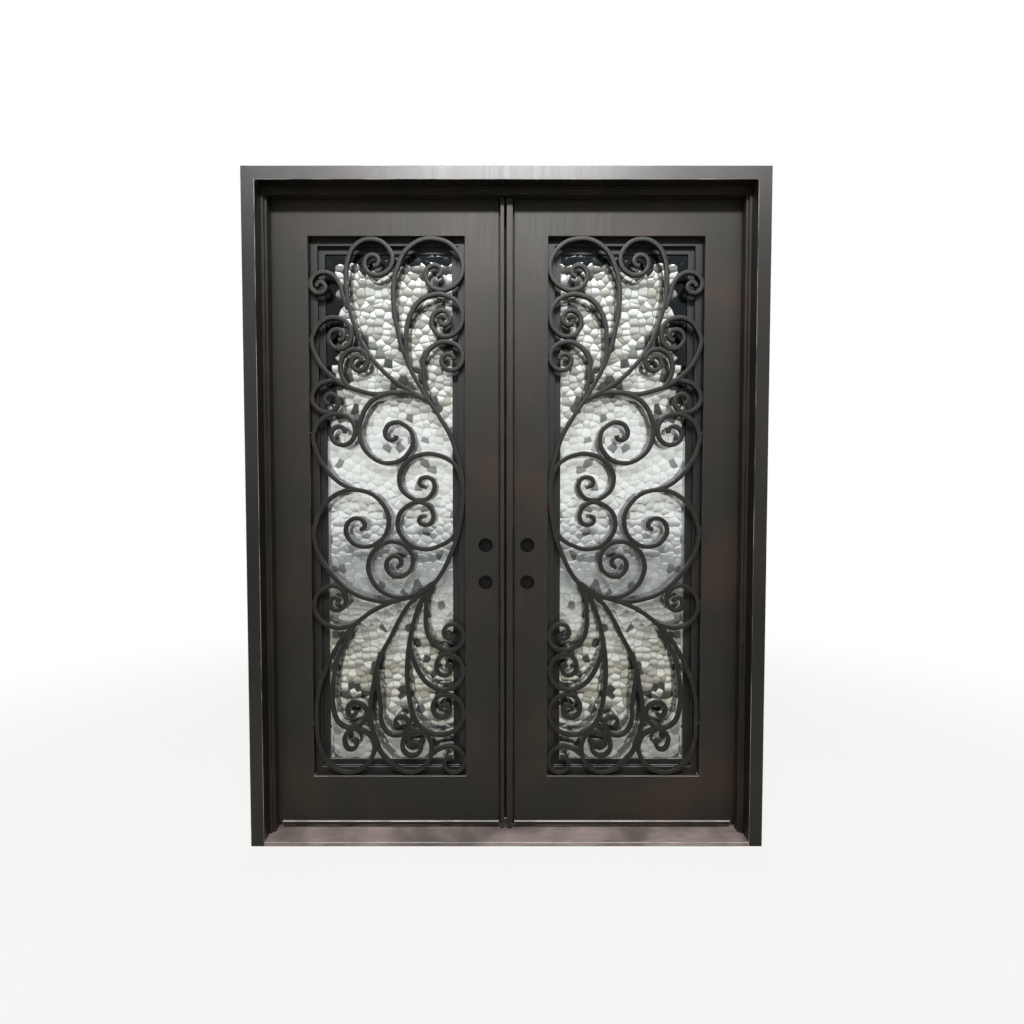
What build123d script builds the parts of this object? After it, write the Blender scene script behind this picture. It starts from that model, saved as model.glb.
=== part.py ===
"""Double wrought iron door: a welded frame with two inward-opening leaves.

Axes: X to the right as seen from outside, Y into the building, Z up.
The origin is the middle of the sill's base. Depths are measured from the
frame's front face, so a depth becomes a Y value through `at_depth`.
Leaf pieces are drawn for the right leaf and mirrored for the left one.
"""
from build123d import *
from dataclasses import dataclass
import math
import os

# Outer frame
FRAME_WIDTH = 1870.0
FRAME_HEIGHT = 2440.0
FRAME_DEPTH = 152.0
JAMB_FACE = 48.0
HEADER_FACE = 48.0

# Sill: the top falls towards the front
SILL_LIP = 15.0
SILL_CREST = 24.0
SILL_CREST_DEPTH = 110.0

# Two-step stop around the doorway
STOP_DEPTH = 49.0
STOP_STEP = 9.0
STOP_FIRST_LIP = 10.0
STOP_SECOND_LIP = 8.5
STOP_TO_LEAF = 5.0

# Leaves
LEAF_DEPTH = 94.0
LEAF_THICKNESS = 54.0
LEAF_SIDE_GAP = 6.0
LEAF_TOP_GAP = 5.0
LEAF_BOTTOM_GAP = 6.0
MEETING_CENTRE = -4.0
MEETING_GAP = 9.5
HINGE_STILE_WIDTH = 146.5
LOCK_STILE_EDGE = 154.5
TOP_RAIL_HEIGHT = 145.0
BOTTOM_RAIL_HEIGHT = 186.0

# Bars on the meeting edges
BAR_DEPTH = 21.0
LEFT_BAR_WIDTH = 13.5
RIGHT_BAR_WIDTH = 22.5
BAR_STOP_GAP = 5.0
BAR_GROOVE_WIDTH = 6.0
BAR_GROOVE_DEPTH = 12.0
BOOT_HEIGHT = 16.0
BOOT_SILL_GAP = 5.0
BOOT_ROUND = 4.0

# Drip ledge along the foot of each leaf
LEDGE_HEIGHT = 18.7
LEDGE_DEPTH = 13.0
LEDGE_END_GAP = 15.8

# Window frame, glass and bead
SASH_DEPTH = 119.0
SASH_SIDE = 27.0
SASH_END = 25.0
SASH_LIP = 24.0
SASH_LIP_DEPTH = 134.0
SASH_LIP_THICKNESS = 4.0
GLASS_THICKNESS = 5.0
GLASS_EDGE_GAP = 2.0

# Scrollwork: one bar size throughout, on a drawing that is stretched to the
# leaf's opening
SCROLL_SETBACK = 1.0
SCROLL_BAR_DEPTH = 16.0
SCROLL_BAR_WIDTH = 16.0
WELD_RADIUS = 8.0
OUTLINE_STEPS = 2

# Lock
BORE_RADIUS = 27.0
BORE_BACKSET = 78.5
BORE_HEIGHTS = (958.0, 1098.0)
LOCK_CASE_THICKNESS = 18.0
LOCK_CASE_WIDTH = 112.0
LOCK_CASE_HEIGHT = 230.0
LOCK_CASE_GAP = 1.0
LOCK_PLATE_WIDTH = 26.0
LOCK_PLATE_HEIGHT = 270.0
LOCK_PLATE_THICKNESS = 3.0

# Seals between the leaves
SEAL_FROM_BACK = 2.0
SEAL_THICKNESS = 6.0
SEAL_SLIT = 0.4
SEAL_END_GAP = 2.0

# Barrel hinges
HINGE_FROM_LEAF_BOTTOM = 270.0
HINGE_FROM_LEAF_TOP = 257.0
HINGE_AXIS_BEHIND_LEAF = 3.0
HINGE_RADIUS = 10.0
HINGE_HALF_LENGTH = 65.0
HINGE_WASHER_GAP = 1.0
HINGE_SIDE_CLEARANCE = 2.5
HINGE_END_CLEARANCE = 5.0
PIN_RADIUS = 6.0
PIN_CLEARANCE = 0.1
PIN_LENGTH = 45.0
PIN_END_GAP = 2.0

# Fixing tabs on the jambs' outer sides
TAB_FROM_BOTTOM = 314.0
TAB_FROM_TOP = 341.0
TAB_LENGTH = 108.0
TAB_THICKNESS = 5.0
TAB_OVERLAP = 60.0
TAB_REACH = 50.0
TAB_HOLE_RADIUS = 4.5
TAB_HOLE_PITCH = 60.0
TAB_HOLE_SETBACK = 25.0

# Places that follow from the sizes above
JAMB_INNER = FRAME_WIDTH / 2 - JAMB_FACE
HEADER_UNDERSIDE = FRAME_HEIGHT - HEADER_FACE
STOP_BACK = LEAF_DEPTH - STOP_TO_LEAF
STOP_INNER = JAMB_INNER - STOP_FIRST_LIP - STOP_SECOND_LIP
STOP_UNDERSIDE = HEADER_UNDERSIDE - STOP_FIRST_LIP - STOP_SECOND_LIP
LEAF_BACK = LEAF_DEPTH + LEAF_THICKNESS
LEAF_OUTER = JAMB_INNER - LEAF_SIDE_GAP
LEAF_BOTTOM = SILL_CREST + LEAF_BOTTOM_GAP
LEAF_TOP = HEADER_UNDERSIDE - LEAF_TOP_GAP
OPENING_INNER = LOCK_STILE_EDGE
OPENING_OUTER = LEAF_OUTER - HINGE_STILE_WIDTH
OPENING_BOTTOM = LEAF_BOTTOM + BOTTOM_RAIL_HEIGHT
OPENING_TOP = LEAF_TOP - TOP_RAIL_HEIGHT
HINGE_AXIS_X = JAMB_INNER - LEAF_SIDE_GAP / 2
HINGE_AXIS_DEPTH = LEAF_BACK + HINGE_AXIS_BEHIND_LEAF
LOW_HINGE = LEAF_BOTTOM + HINGE_FROM_LEAF_BOTTOM
HIGH_HINGE = LEAF_TOP - HINGE_FROM_LEAF_TOP
HINGE_HEIGHTS = (LOW_HINGE, (LOW_HINGE + HIGH_HINGE) / 2, HIGH_HINGE)
TAB_HEIGHTS = (TAB_FROM_BOTTOM, FRAME_HEIGHT - TAB_FROM_TOP)


@dataclass(frozen=True)
class Leaf:
    """What differs between the two leaves, drawn as a right-hand leaf."""

    meeting_edge: float
    bar_width: float

    @property
    def skin_edge(self):
        """Where the leaf's face starts beside the groove."""
        return self.meeting_edge + self.bar_width + BAR_GROOVE_WIDTH


@dataclass(frozen=True)
class Volute:
    """Rolled end of a bar, as radii a quarter turn apart around its centre."""

    centre: tuple
    start: int
    turn: int
    radii: tuple

    def points(self):
        """Points an eighth of a turn apart, from the stem to the eye."""
        points = []
        for step in range(2 * len(self.radii) - 1):
            radius = math.sqrt(self.radii[step // 2] * self.radii[(step + 1) // 2])
            angle = math.radians(90 * self.start + 45 * self.turn * step)
            across = self.centre[0] + radius * math.cos(angle)
            up = self.centre[1] + radius * math.sin(angle)
            points.append((across, up))
        return points


@dataclass(frozen=True)
class Scroll:
    """Forged bar on the drawing: points of its stem, then its volute."""

    stem: tuple
    volute: Volute = None

    def points(self):
        """Every point of the bar's middle line on the drawing."""
        rolled = self.volute.points() if self.volute else []
        return [*self.stem, *rolled]


@dataclass(frozen=True)
class Drawing:
    """Drawing of the scrollwork, as large in its own units as the opening.

    The hub is the outline of a plate that gathers the lower stems, and the
    welds are the spots on the edges where bars are fixed to the leaf.
    """

    width: float
    height: float
    hub: tuple
    welds: tuple


# Sides of a volute, in quarter turns, and its two directions
HINGE_SIDE, TOP, LOCK_SIDE, FOOT = range(4)
WITH_CLOCK, AGAINST_CLOCK = -1, 1

# Each bar runs from its welded end to its eye. A drawing's first number is
# counted from the lock stile, its second one from the bottom rail.
SCROLLS = {
    "spine": Scroll(
        ((148, 1439), (108, 1382), (75, 1329), (50, 1279), (34, 1229), (21, 1184), (9, 1074),
         (21, 964), (35, 904), (58, 844), (86, 784), (123, 734), (163, 699)),
    ),
    "arch": Scroll(
        ((148, 1429), (205, 1460), (263, 1496), (316, 1544), (365, 1604), (403, 1684),
         (428, 1759), (441, 1844), (441, 1894)),
        Volute((340, 1934), HINGE_SIDE, AGAINST_CLOCK, (96, 83, 71, 46, 31, 26, 21, 14)),
    ),
    "arch_branch": Scroll(
        ((437, 1765), (447, 1793), (456, 1819)),
        Volute((538, 1844), LOCK_SIDE, WITH_CLOCK, (77, 51, 33, 23, 20, 16, 12)),
    ),
    "tall_arch": Scroll(
        ((148, 1439), (173, 1484), (201, 1534), (221, 1584), (240, 1634), (251, 1684),
         (261, 1734), (266, 1784), (266, 1844)),
        Volute((105, 1899), HINGE_SIDE, AGAINST_CLOCK, (151, 119, 96, 65, 39, 22, 17, 17)),
    ),
    "tall_arch_branch": Scroll(
        ((215, 1564), (220, 1609), (219, 1654), (215, 1704), (199, 1749), (171, 1789), (131, 1811)),
        Volute((81, 1724), TOP, AGAINST_CLOCK, (91, 71, 63, 42, 33, 25, 20, 12)),
    ),
    "upper_lock_curl": Scroll(
        ((143, 1439), (151, 1484), (156, 1529)),
        Volute((55, 1577), HINGE_SIDE, AGAINST_CLOCK, (98, 62, 45, 40, 33, 18, 12)),
    ),
    "upper_side_curl": Scroll(
        ((163, 1436), (213, 1452), (273, 1455), (333, 1448), (388, 1459), (450, 1481),
         (503, 1518), (551, 1580), (571, 1646)),
        Volute((471, 1661), HINGE_SIDE, AGAINST_CLOCK, (97, 68, 47, 45, 36, 25, 20, 14)),
    ),
    "upper_side_branch": Scroll(
        ((439, 1478), (458, 1509)),
        Volute((399, 1570), HINGE_SIDE, AGAINST_CLOCK, (64, 43, 35, 35, 24, 17, 12)),
    ),
    "upper_side_drop": Scroll(
        ((441, 1483), (463, 1496)),
        Volute((506, 1426), TOP, WITH_CLOCK, (71, 65, 44, 30, 22, 18, 14)),
    ),
    "hanging_curl": Scroll(
        ((243, 1452), (283, 1452), (325, 1439), (361, 1411), (385, 1369)),
        Volute((273, 1294), HINGE_SIDE, WITH_CLOCK, (123, 102, 75, 47, 26, 16, 14)),
    ),
    "spine_upper_curl": Scroll(
        ((9, 1074), (14, 1124), (29, 1169), (58, 1201), (98, 1220)),
        Volute((155, 1119), TOP, WITH_CLOCK, (106, 93, 65, 36, 18, 17, 16)),
    ),
    "spine_lower_curl": Scroll(
        ((9, 1074), (15, 1014), (28, 949), (50, 910), (93, 882)),
        Volute((158, 977), FOOT, AGAINST_CLOCK, (110, 97, 64, 34, 17, 17, 15)),
    ),
    "middle_side_curl": Scroll(
        ((163, 699), (233, 680), (303, 668), (363, 677), (429, 702), (491, 754), (538, 815), (565, 882)),
        Volute((398, 954), HINGE_SIDE, AGAINST_CLOCK, (169, 135, 107, 76, 51, 28, 17, 11)),
    ),
    "middle_side_branch": Scroll(
        ((403, 1089), (447, 1103), (489, 1131), (529, 1176), (557, 1231)),
        Volute((465, 1302), HINGE_SIDE, AGAINST_CLOCK, (102, 71, 51, 43, 38, 25, 12)),
    ),
    "middle_curl": Scroll(
        ((143, 716), (188, 695), (238, 683), (288, 691), (331, 719), (358, 759)),
        Volute((261, 814), HINGE_SIDE, AGAINST_CLOCK, (106, 80, 61, 51, 38, 26, 17, 14)),
    ),
    "lower_side_stem": Scroll(
        ((163, 699), (223, 682), (283, 664), (343, 637), (400, 598), (456, 544), (496, 484),
         (533, 409), (556, 344), (567, 274), (568, 204)),
        Volute((437, 124), HINGE_SIDE, WITH_CLOCK, (124, 111, 85, 52, 25, 24, 19, 13)),
    ),
    "lower_side_rise": Scroll(
        ((403, 589), (443, 574)),
        Volute((493, 666), FOOT, AGAINST_CLOCK, (98, 77, 61, 39, 31, 20, 18, 12)),
    ),
    "lower_side_drop": Scroll(
        ((423, 579), (455, 514), (480, 467), (496, 414), (506, 344)),
        Volute((433, 244), HINGE_SIDE, WITH_CLOCK, (70, 60, 54, 37, 18, 14, 14)),
    ),
    "lower_middle_stem": Scroll(
        ((163, 699), (208, 664), (249, 604), (284, 534), (317, 474), (339, 414), (353, 344),
         (363, 284), (366, 234), (358, 179), (342, 129), (317, 77)),
        Volute((208, 114), FOOT, WITH_CLOCK, (101, 78)),
    ),
    "lower_middle_tip": Scroll(
        ((130, 94), (135, 126), (151, 155), (188, 168), (221, 146), (216, 129), (194, 120),
         (174, 129), (169, 141)),
    ),
    "lower_middle_branch": Scroll(
        ((342, 404), (334, 344), (329, 304), (325, 264)),
        Volute((255, 202), HINGE_SIDE, WITH_CLOCK, (66, 47, 35, 23, 14, 11)),
    ),
    "lower_middle_ring": Scroll(
        ((228, 184), (235, 156)),
        Volute((205, 109), HINGE_SIDE, WITH_CLOCK, (38, 33, 33, 16, 14)),
    ),
    "lower_lock_stem": Scroll(
        ((153, 709), (180, 644), (204, 564), (218, 484), (224, 404), (219, 324), (207, 254),
         (184, 199), (146, 168)),
        Volute((85, 252), FOOT, WITH_CLOCK, (95, 76, 59, 41, 28, 24, 17, 12)),
    ),
    "lower_lock_branch": Scroll(
        ((214, 496), (195, 434), (173, 389), (141, 351)),
        Volute((78, 412), FOOT, WITH_CLOCK, (82, 67, 54, 33, 26, 21, 12)),
    ),
    "lower_lock_curl": Scroll(
        ((146, 709), (150, 634), (150, 574), (138, 529), (108, 495)),
        Volute((58, 544), FOOT, WITH_CLOCK, (62, 50, 37, 25, 17, 13)),
    ),
    "corner_curl": Scroll(
        ((130, 80), (115, 93), (98, 103)),
        Volute((51, 52), TOP, AGAINST_CLOCK, (59, 44, 39, 32, 14)),
    ),
}

DRAWING = Drawing(
    width=580.0,
    height=2026.0,
    hub=((109, 749), (115, 719), (127, 689), (173, 689), (193, 702), (153, 726), (128, 746)),
    welds=(
        (340, 2026), (105, 2026), (580, 1844), (580, 1650), (580, 1426), (580, 1302), (580, 945),
        (580, 666), (580, 200), (437, 0), (208, 0), (51, 0), (0, 1899), (0, 1724), (0, 1577),
        (0, 1074), (0, 544), (0, 412), (0, 252), (0, 52),
    ),
)


def at_depth(depth):
    """Y value of a depth behind the frame's front face."""
    return depth - FRAME_DEPTH / 2


def block(x_from, x_to, depth_from, depth_to, z_from, z_to):
    """Box between two corners, its depths measured from the front face."""
    size = (x_to - x_from, depth_to - depth_from, z_to - z_from)
    middle = ((x_from + x_to) / 2, at_depth((depth_from + depth_to) / 2), (z_from + z_to) / 2)
    return Pos(*middle) * Box(*size)


def upright(radius, x, depth, z_from, z_to):
    """Upright cylinder."""
    middle = (x, at_depth(depth), (z_from + z_to) / 2)
    return Pos(*middle) * Cylinder(radius, z_to - z_from)


def mirrored(piece):
    """The same piece on the left-hand side."""
    return mirror(piece, about=Plane.YZ)


def save(name, piece):
    """Write one subcomponent."""
    piece.label = name
    export_step(piece, f"parts/{name}.step")


def fixed_knuckle_range(height):
    """Bottom and top of a hinge's fixed half."""
    return height - HINGE_HALF_LENGTH, height


def moving_knuckle_range(height):
    """Bottom and top of a hinge's moving half."""
    bottom = height + HINGE_WASHER_GAP
    return bottom, bottom + HINGE_HALF_LENGTH


def right_jamb():
    """Upright of the outer frame, hollowed where the hinges sit."""
    jamb = block(JAMB_INNER, FRAME_WIDTH / 2, 0, FRAME_DEPTH, 0, FRAME_HEIGHT)
    for height in HINGE_HEIGHTS:
        bottom, top = fixed_knuckle_range(height)
        jamb -= upright(HINGE_RADIUS, HINGE_AXIS_X, HINGE_AXIS_DEPTH, bottom, top)
        bottom, top = moving_knuckle_range(height)
        clear_radius = HINGE_RADIUS + HINGE_SIDE_CLEARANCE
        clear_top = top + HINGE_END_CLEARANCE
        jamb -= upright(clear_radius, HINGE_AXIS_X, HINGE_AXIS_DEPTH, height, clear_top)
    return jamb


def header():
    """Top of the outer frame, between the jambs."""
    return block(-JAMB_INNER, JAMB_INNER, 0, FRAME_DEPTH, HEADER_UNDERSIDE, FRAME_HEIGHT)


def sill():
    """Threshold between the jambs, with a sloping top."""
    outline = Polyline(
        (at_depth(0), 0),
        (at_depth(0), SILL_LIP),
        (at_depth(SILL_CREST_DEPTH), SILL_CREST),
        (at_depth(FRAME_DEPTH), SILL_CREST),
        (at_depth(FRAME_DEPTH), 0),
        close=True,
    )
    section = Plane.YZ * make_face(outline)
    return extrude(section, JAMB_INNER, both=True)


def stop_ring():
    """Both steps of the stop around the doorway, before it is cut in three."""
    first_inner = JAMB_INNER - STOP_FIRST_LIP
    first_underside = HEADER_UNDERSIDE - STOP_FIRST_LIP
    second_depth = STOP_DEPTH + STOP_STEP
    ring = block(-JAMB_INNER, JAMB_INNER, STOP_DEPTH, STOP_BACK, 0, HEADER_UNDERSIDE)
    ring -= block(-first_inner, first_inner, STOP_DEPTH, second_depth, 0, first_underside)
    ring -= block(-STOP_INNER, STOP_INNER, second_depth, STOP_BACK, 0, STOP_UNDERSIDE)
    return ring - sill()


def header_stop():
    """Stop under the header, mitred at both ends."""
    reach = 2 * (HEADER_UNDERSIDE - STOP_UNDERSIDE)
    outline = Polyline(
        (-JAMB_INNER, HEADER_UNDERSIDE),
        (-JAMB_INNER + reach, HEADER_UNDERSIDE - reach),
        (JAMB_INNER - reach, HEADER_UNDERSIDE - reach),
        (JAMB_INNER, HEADER_UNDERSIDE),
        close=True,
    )
    wedge = extrude(Plane.XZ * make_face(outline), FRAME_DEPTH, both=True)
    return stop_ring() & wedge


def right_stop():
    """Stop beside the right jamb, mitred at its top."""
    half = block(0, JAMB_INNER, STOP_DEPTH, STOP_BACK, 0, HEADER_UNDERSIDE)
    return (stop_ring() & half) - header_stop()


def right_tabs():
    """Two strap tabs on the right jamb's outer side, with screw holes."""
    inner = FRAME_WIDTH / 2
    back = FRAME_DEPTH + TAB_REACH
    tabs = Part()
    for height in TAB_HEIGHTS:
        bottom = height - TAB_LENGTH / 2
        top = height + TAB_LENGTH / 2
        tab = block(inner, inner + TAB_THICKNESS, FRAME_DEPTH - TAB_OVERLAP, back, bottom, top)
        for offset in (-TAB_HOLE_PITCH / 2, TAB_HOLE_PITCH / 2):
            spot = Pos(inner, at_depth(back - TAB_HOLE_SETBACK), height + offset)
            tab -= spot * Rot(0, 90, 0) * Cylinder(TAB_HOLE_RADIUS, 4 * TAB_THICKNESS)
        tabs += tab
    return tabs


def right_pintles():
    """Fixed halves of the hinges, each with its pin standing up."""
    pintles = Part()
    for height in HINGE_HEIGHTS:
        bottom, top = fixed_knuckle_range(height)
        pintles += upright(HINGE_RADIUS, HINGE_AXIS_X, HINGE_AXIS_DEPTH, bottom, top)
        pin_top = top + HINGE_WASHER_GAP + PIN_LENGTH
        pintles += upright(PIN_RADIUS, HINGE_AXIS_X, HINGE_AXIS_DEPTH, bottom, pin_top)
    return pintles


def hinge_barrels():
    """Moving halves of the hinges, each bored from below for its pin."""
    barrels = Part()
    for height in HINGE_HEIGHTS:
        bottom, top = moving_knuckle_range(height)
        barrel = upright(HINGE_RADIUS, HINGE_AXIS_X, HINGE_AXIS_DEPTH, bottom, top)
        bore_top = bottom + PIN_LENGTH + PIN_END_GAP
        bore_radius = PIN_RADIUS + PIN_CLEARANCE
        barrel -= upright(bore_radius, HINGE_AXIS_X, HINGE_AXIS_DEPTH, bottom, bore_top)
        barrels += barrel
    return barrels


def hinge_stile():
    """Outer upright of a leaf, hollowed where the hinges sit."""
    stile = block(OPENING_OUTER, LEAF_OUTER, LEAF_DEPTH, LEAF_BACK, LEAF_BOTTOM, LEAF_TOP)
    for height in HINGE_HEIGHTS:
        bottom, top = moving_knuckle_range(height)
        stile -= upright(HINGE_RADIUS, HINGE_AXIS_X, HINGE_AXIS_DEPTH, bottom, top)
        clear_radius = HINGE_RADIUS + HINGE_SIDE_CLEARANCE
        clear_bottom = fixed_knuckle_range(height)[0] - HINGE_END_CLEARANCE
        stile -= upright(clear_radius, HINGE_AXIS_X, HINGE_AXIS_DEPTH, clear_bottom, bottom)
    return stile


def lock_stile(leaf):
    """Meeting upright of a leaf: grooved, bored across and mortised."""
    stile = block(leaf.meeting_edge, OPENING_INNER, LEAF_DEPTH, LEAF_BACK, LEAF_BOTTOM, LEAF_TOP)
    bar_edge = leaf.meeting_edge + leaf.bar_width
    groove_back = LEAF_DEPTH + BAR_GROOVE_DEPTH
    stile -= block(bar_edge, leaf.skin_edge, LEAF_DEPTH, groove_back, LEAF_BOTTOM, LEAF_TOP)
    for height in BORE_HEIGHTS:
        spot = Pos(BORE_BACKSET, at_depth(LEAF_DEPTH + LEAF_THICKNESS / 2), height)
        stile -= spot * Rot(90, 0, 0) * Cylinder(BORE_RADIUS, 2 * LEAF_THICKNESS)
    return stile - lock_pocket(leaf)


def lock_pocket(leaf):
    """Room for the lock case and its face plate."""
    middle = sum(BORE_HEIGHTS) / len(BORE_HEIGHTS)
    depth = LEAF_DEPTH + LEAF_THICKNESS / 2
    half_case = LOCK_CASE_THICKNESS / 2
    half_height = LOCK_CASE_HEIGHT / 2 + LOCK_CASE_GAP
    edge = leaf.meeting_edge
    inner = edge + LOCK_CASE_WIDTH + LOCK_CASE_GAP
    bottom, top = middle - half_height, middle + half_height
    pocket = block(edge, inner, depth - half_case, depth + half_case, bottom, top)
    return pocket + lock_plate(edge, middle, depth)


def lock_plate(edge, middle, depth):
    """Face plate let into the meeting edge."""
    half_width = LOCK_PLATE_WIDTH / 2
    half_height = LOCK_PLATE_HEIGHT / 2
    back = edge + LOCK_PLATE_THICKNESS
    bottom, top = middle - half_height, middle + half_height
    return block(edge, back, depth - half_width, depth + half_width, bottom, top)


def lock_case(leaf):
    """Lock body with its face plate."""
    middle = sum(BORE_HEIGHTS) / len(BORE_HEIGHTS)
    depth = LEAF_DEPTH + LEAF_THICKNESS / 2
    half_case = LOCK_CASE_THICKNESS / 2
    half_height = LOCK_CASE_HEIGHT / 2
    edge = leaf.meeting_edge
    inner = edge + LOCK_CASE_WIDTH
    bottom, top = middle - half_height, middle + half_height
    case = block(edge, inner, depth - half_case, depth + half_case, bottom, top)
    return case + lock_plate(edge, middle, depth)


def top_rail():
    """Upper rail of a leaf."""
    return block(OPENING_INNER, OPENING_OUTER, LEAF_DEPTH, LEAF_BACK, OPENING_TOP, LEAF_TOP)


def bottom_rail():
    """Lower rail of a leaf."""
    return block(OPENING_INNER, OPENING_OUTER, LEAF_DEPTH, LEAF_BACK, LEAF_BOTTOM, OPENING_BOTTOM)


def boot_top():
    """Height where a meeting bar stands on its boot."""
    return SILL_CREST + BOOT_SILL_GAP + BOOT_HEIGHT


def meeting_bar(leaf):
    """Square bar in front of the meeting edge."""
    outer = leaf.meeting_edge + leaf.bar_width
    top = STOP_UNDERSIDE - BAR_STOP_GAP
    return block(leaf.meeting_edge, outer, LEAF_DEPTH - BAR_DEPTH, LEAF_DEPTH, boot_top(), top)


def bar_boot(leaf):
    """Rubber foot under the meeting bar, rounded below."""
    outer = leaf.meeting_edge + leaf.bar_width
    bottom = boot_top() - BOOT_HEIGHT
    boot = block(leaf.meeting_edge, outer, LEAF_DEPTH - BAR_DEPTH, LEAF_DEPTH, bottom, boot_top())
    foot = boot.edges().group_by(Axis.Z)[0]
    return fillet(foot.filter_by(Axis.Y), BOOT_ROUND)


def drip_ledge(leaf):
    """Ledge that throws rain off the foot of the leaf."""
    outer = STOP_INNER - LEDGE_END_GAP
    front = LEAF_DEPTH - LEDGE_DEPTH
    return block(leaf.skin_edge, outer, front, LEAF_DEPTH, LEAF_BOTTOM, LEAF_BOTTOM + LEDGE_HEIGHT)


def window_ring(margin_side, margin_end, width, depth_from, depth_to):
    """Rectangular ring set in from the leaf's opening by the margins."""
    x_from = OPENING_INNER + margin_side
    x_to = OPENING_OUTER - margin_side
    z_from = OPENING_BOTTOM + margin_end
    z_to = OPENING_TOP - margin_end
    outer = block(x_from, x_to, depth_from, depth_to, z_from, z_to)
    inner = block(x_from + width, x_to - width, depth_from, depth_to, z_from + width, z_to - width)
    return outer - inner


def sash():
    """Window frame in the leaf's opening, with a lip in front of the glass."""
    outer = block(OPENING_INNER, OPENING_OUTER, SASH_DEPTH, LEAF_BACK, OPENING_BOTTOM, OPENING_TOP)
    x_from = OPENING_INNER + SASH_SIDE
    x_to = OPENING_OUTER - SASH_SIDE
    z_from = OPENING_BOTTOM + SASH_END
    z_to = OPENING_TOP - SASH_END
    surround = outer - block(x_from, x_to, SASH_DEPTH, LEAF_BACK, z_from, z_to)
    lip_back = SASH_LIP_DEPTH + SASH_LIP_THICKNESS
    return surround + window_ring(SASH_SIDE, SASH_END, SASH_LIP, SASH_LIP_DEPTH, lip_back)


def glass():
    """Pane behind the sash's lip."""
    side = SASH_SIDE + GLASS_EDGE_GAP
    end = SASH_END + GLASS_EDGE_GAP
    front = SASH_LIP_DEPTH + SASH_LIP_THICKNESS
    x_from = OPENING_INNER + side
    x_to = OPENING_OUTER - side
    return block(x_from, x_to, front, front + GLASS_THICKNESS, OPENING_BOTTOM + end, OPENING_TOP - end)


def glazing_bead():
    """Bead that holds the glass from inside."""
    front = SASH_LIP_DEPTH + SASH_LIP_THICKNESS + GLASS_THICKNESS
    return window_ring(SASH_SIDE, SASH_END, SASH_LIP, front, LEAF_BACK)


def meeting_seal(leaf):
    """Rubber blade that reaches almost to the middle of the meeting gap."""
    reach = (MEETING_GAP - SEAL_SLIT) / 2
    back = LEAF_BACK - SEAL_FROM_BACK
    edge = leaf.meeting_edge
    bottom = LEAF_BOTTOM + SEAL_END_GAP
    top = LEAF_TOP - SEAL_END_GAP
    return block(edge - reach, edge, back - SEAL_THICKNESS, back, bottom, top)


def on_leaf(spot):
    """A spot of the scroll drawing, as X and Z on the right leaf."""
    across = (OPENING_OUTER - OPENING_INNER) / DRAWING.width
    up = (OPENING_TOP - OPENING_BOTTOM) / DRAWING.height
    return OPENING_INNER + spot[0] * across, OPENING_BOTTOM + spot[1] * up


def bar_outline(scroll):
    """Flat shape of a bar bent along its scroll, with a rounded eye end."""
    spots = [on_leaf(point) for point in scroll.points()]
    middle = Spline(*spots)
    steps = OUTLINE_STEPS * len(spots)
    outer, inner = [], []
    for step in range(steps + 1):
        along = (middle % (step / steps)) * (SCROLL_BAR_WIDTH / 2)
        aside = Vector(-along.Y, along.X)
        outer.append((middle @ (step / steps)) + aside)
        inner.append((middle @ (step / steps)) - aside)
    eye = ThreePointArc(outer[-1], (middle @ 1) + along, inner[-1])
    return make_face([Spline(*outer), eye, Spline(*reversed(inner)), Line(inner[0], outer[0])])


def scrollwork():
    """Grille of forged scrolls, welded to each other and around the opening."""
    shapes = [bar_outline(scroll) for scroll in SCROLLS.values()]
    shapes.append(make_face(Polyline(*[on_leaf(corner) for corner in DRAWING.hub], close=True)))
    shapes += [Pos(*on_leaf(spot)) * Circle(WELD_RADIUS) for spot in DRAWING.welds]
    corners = [on_leaf((0, 0)), on_leaf((DRAWING.width, DRAWING.height))]
    width, height = (high - low for low, high in zip(*corners))
    opening = Pos(*corners[0]) * Rectangle(width, height, align=Align.MIN)
    front = Plane(origin=(0, at_depth(LEAF_DEPTH + SCROLL_SETBACK), 0), x_dir=(1, 0, 0), z_dir=(0, -1, 0))
    grille = (Sketch() + shapes) & opening
    return extrude(front * grille, -SCROLL_BAR_DEPTH)


def leaf_pieces(leaf):
    """Every piece of one leaf by name."""
    return {
        "hinge_stile": hinge_stile(),
        "lock_stile": lock_stile(leaf),
        "top_rail": top_rail(),
        "bottom_rail": bottom_rail(),
        "meeting_bar": meeting_bar(leaf),
        "bar_boot": bar_boot(leaf),
        "drip_ledge": drip_ledge(leaf),
        "sash": sash(),
        "glass": glass(),
        "glazing_bead": glazing_bead(),
        "scrollwork": scrollwork(),
        "lock_case": lock_case(leaf),
        "meeting_seal": meeting_seal(leaf),
        "hinge_barrels": hinge_barrels(),
    }


def main():
    """Build and write every subcomponent."""
    os.makedirs("parts", exist_ok=True)
    save("header", header())
    save("sill", sill())
    save("header_stop", header_stop())
    sided = {
        "jamb": right_jamb(),
        "stop": right_stop(),
        "tabs": right_tabs(),
        "pintles": right_pintles(),
    }
    for name, piece in sided.items():
        save(f"right_{name}", piece)
        save(f"left_{name}", mirrored(piece))
    right = Leaf(MEETING_CENTRE + MEETING_GAP / 2, RIGHT_BAR_WIDTH)
    left = Leaf(MEETING_GAP / 2 - MEETING_CENTRE, LEFT_BAR_WIDTH)
    for name, piece in leaf_pieces(right).items():
        save(f"right_{name}", piece)
    for name, piece in leaf_pieces(left).items():
        save(f"left_{name}", mirrored(piece))


main()
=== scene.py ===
import logging
import math
from dataclasses import dataclass
from enum import Enum
from typing import Iterable, Optional, Sequence, Union

import bmesh
import bpy
from mathutils import Matrix, Vector


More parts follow.
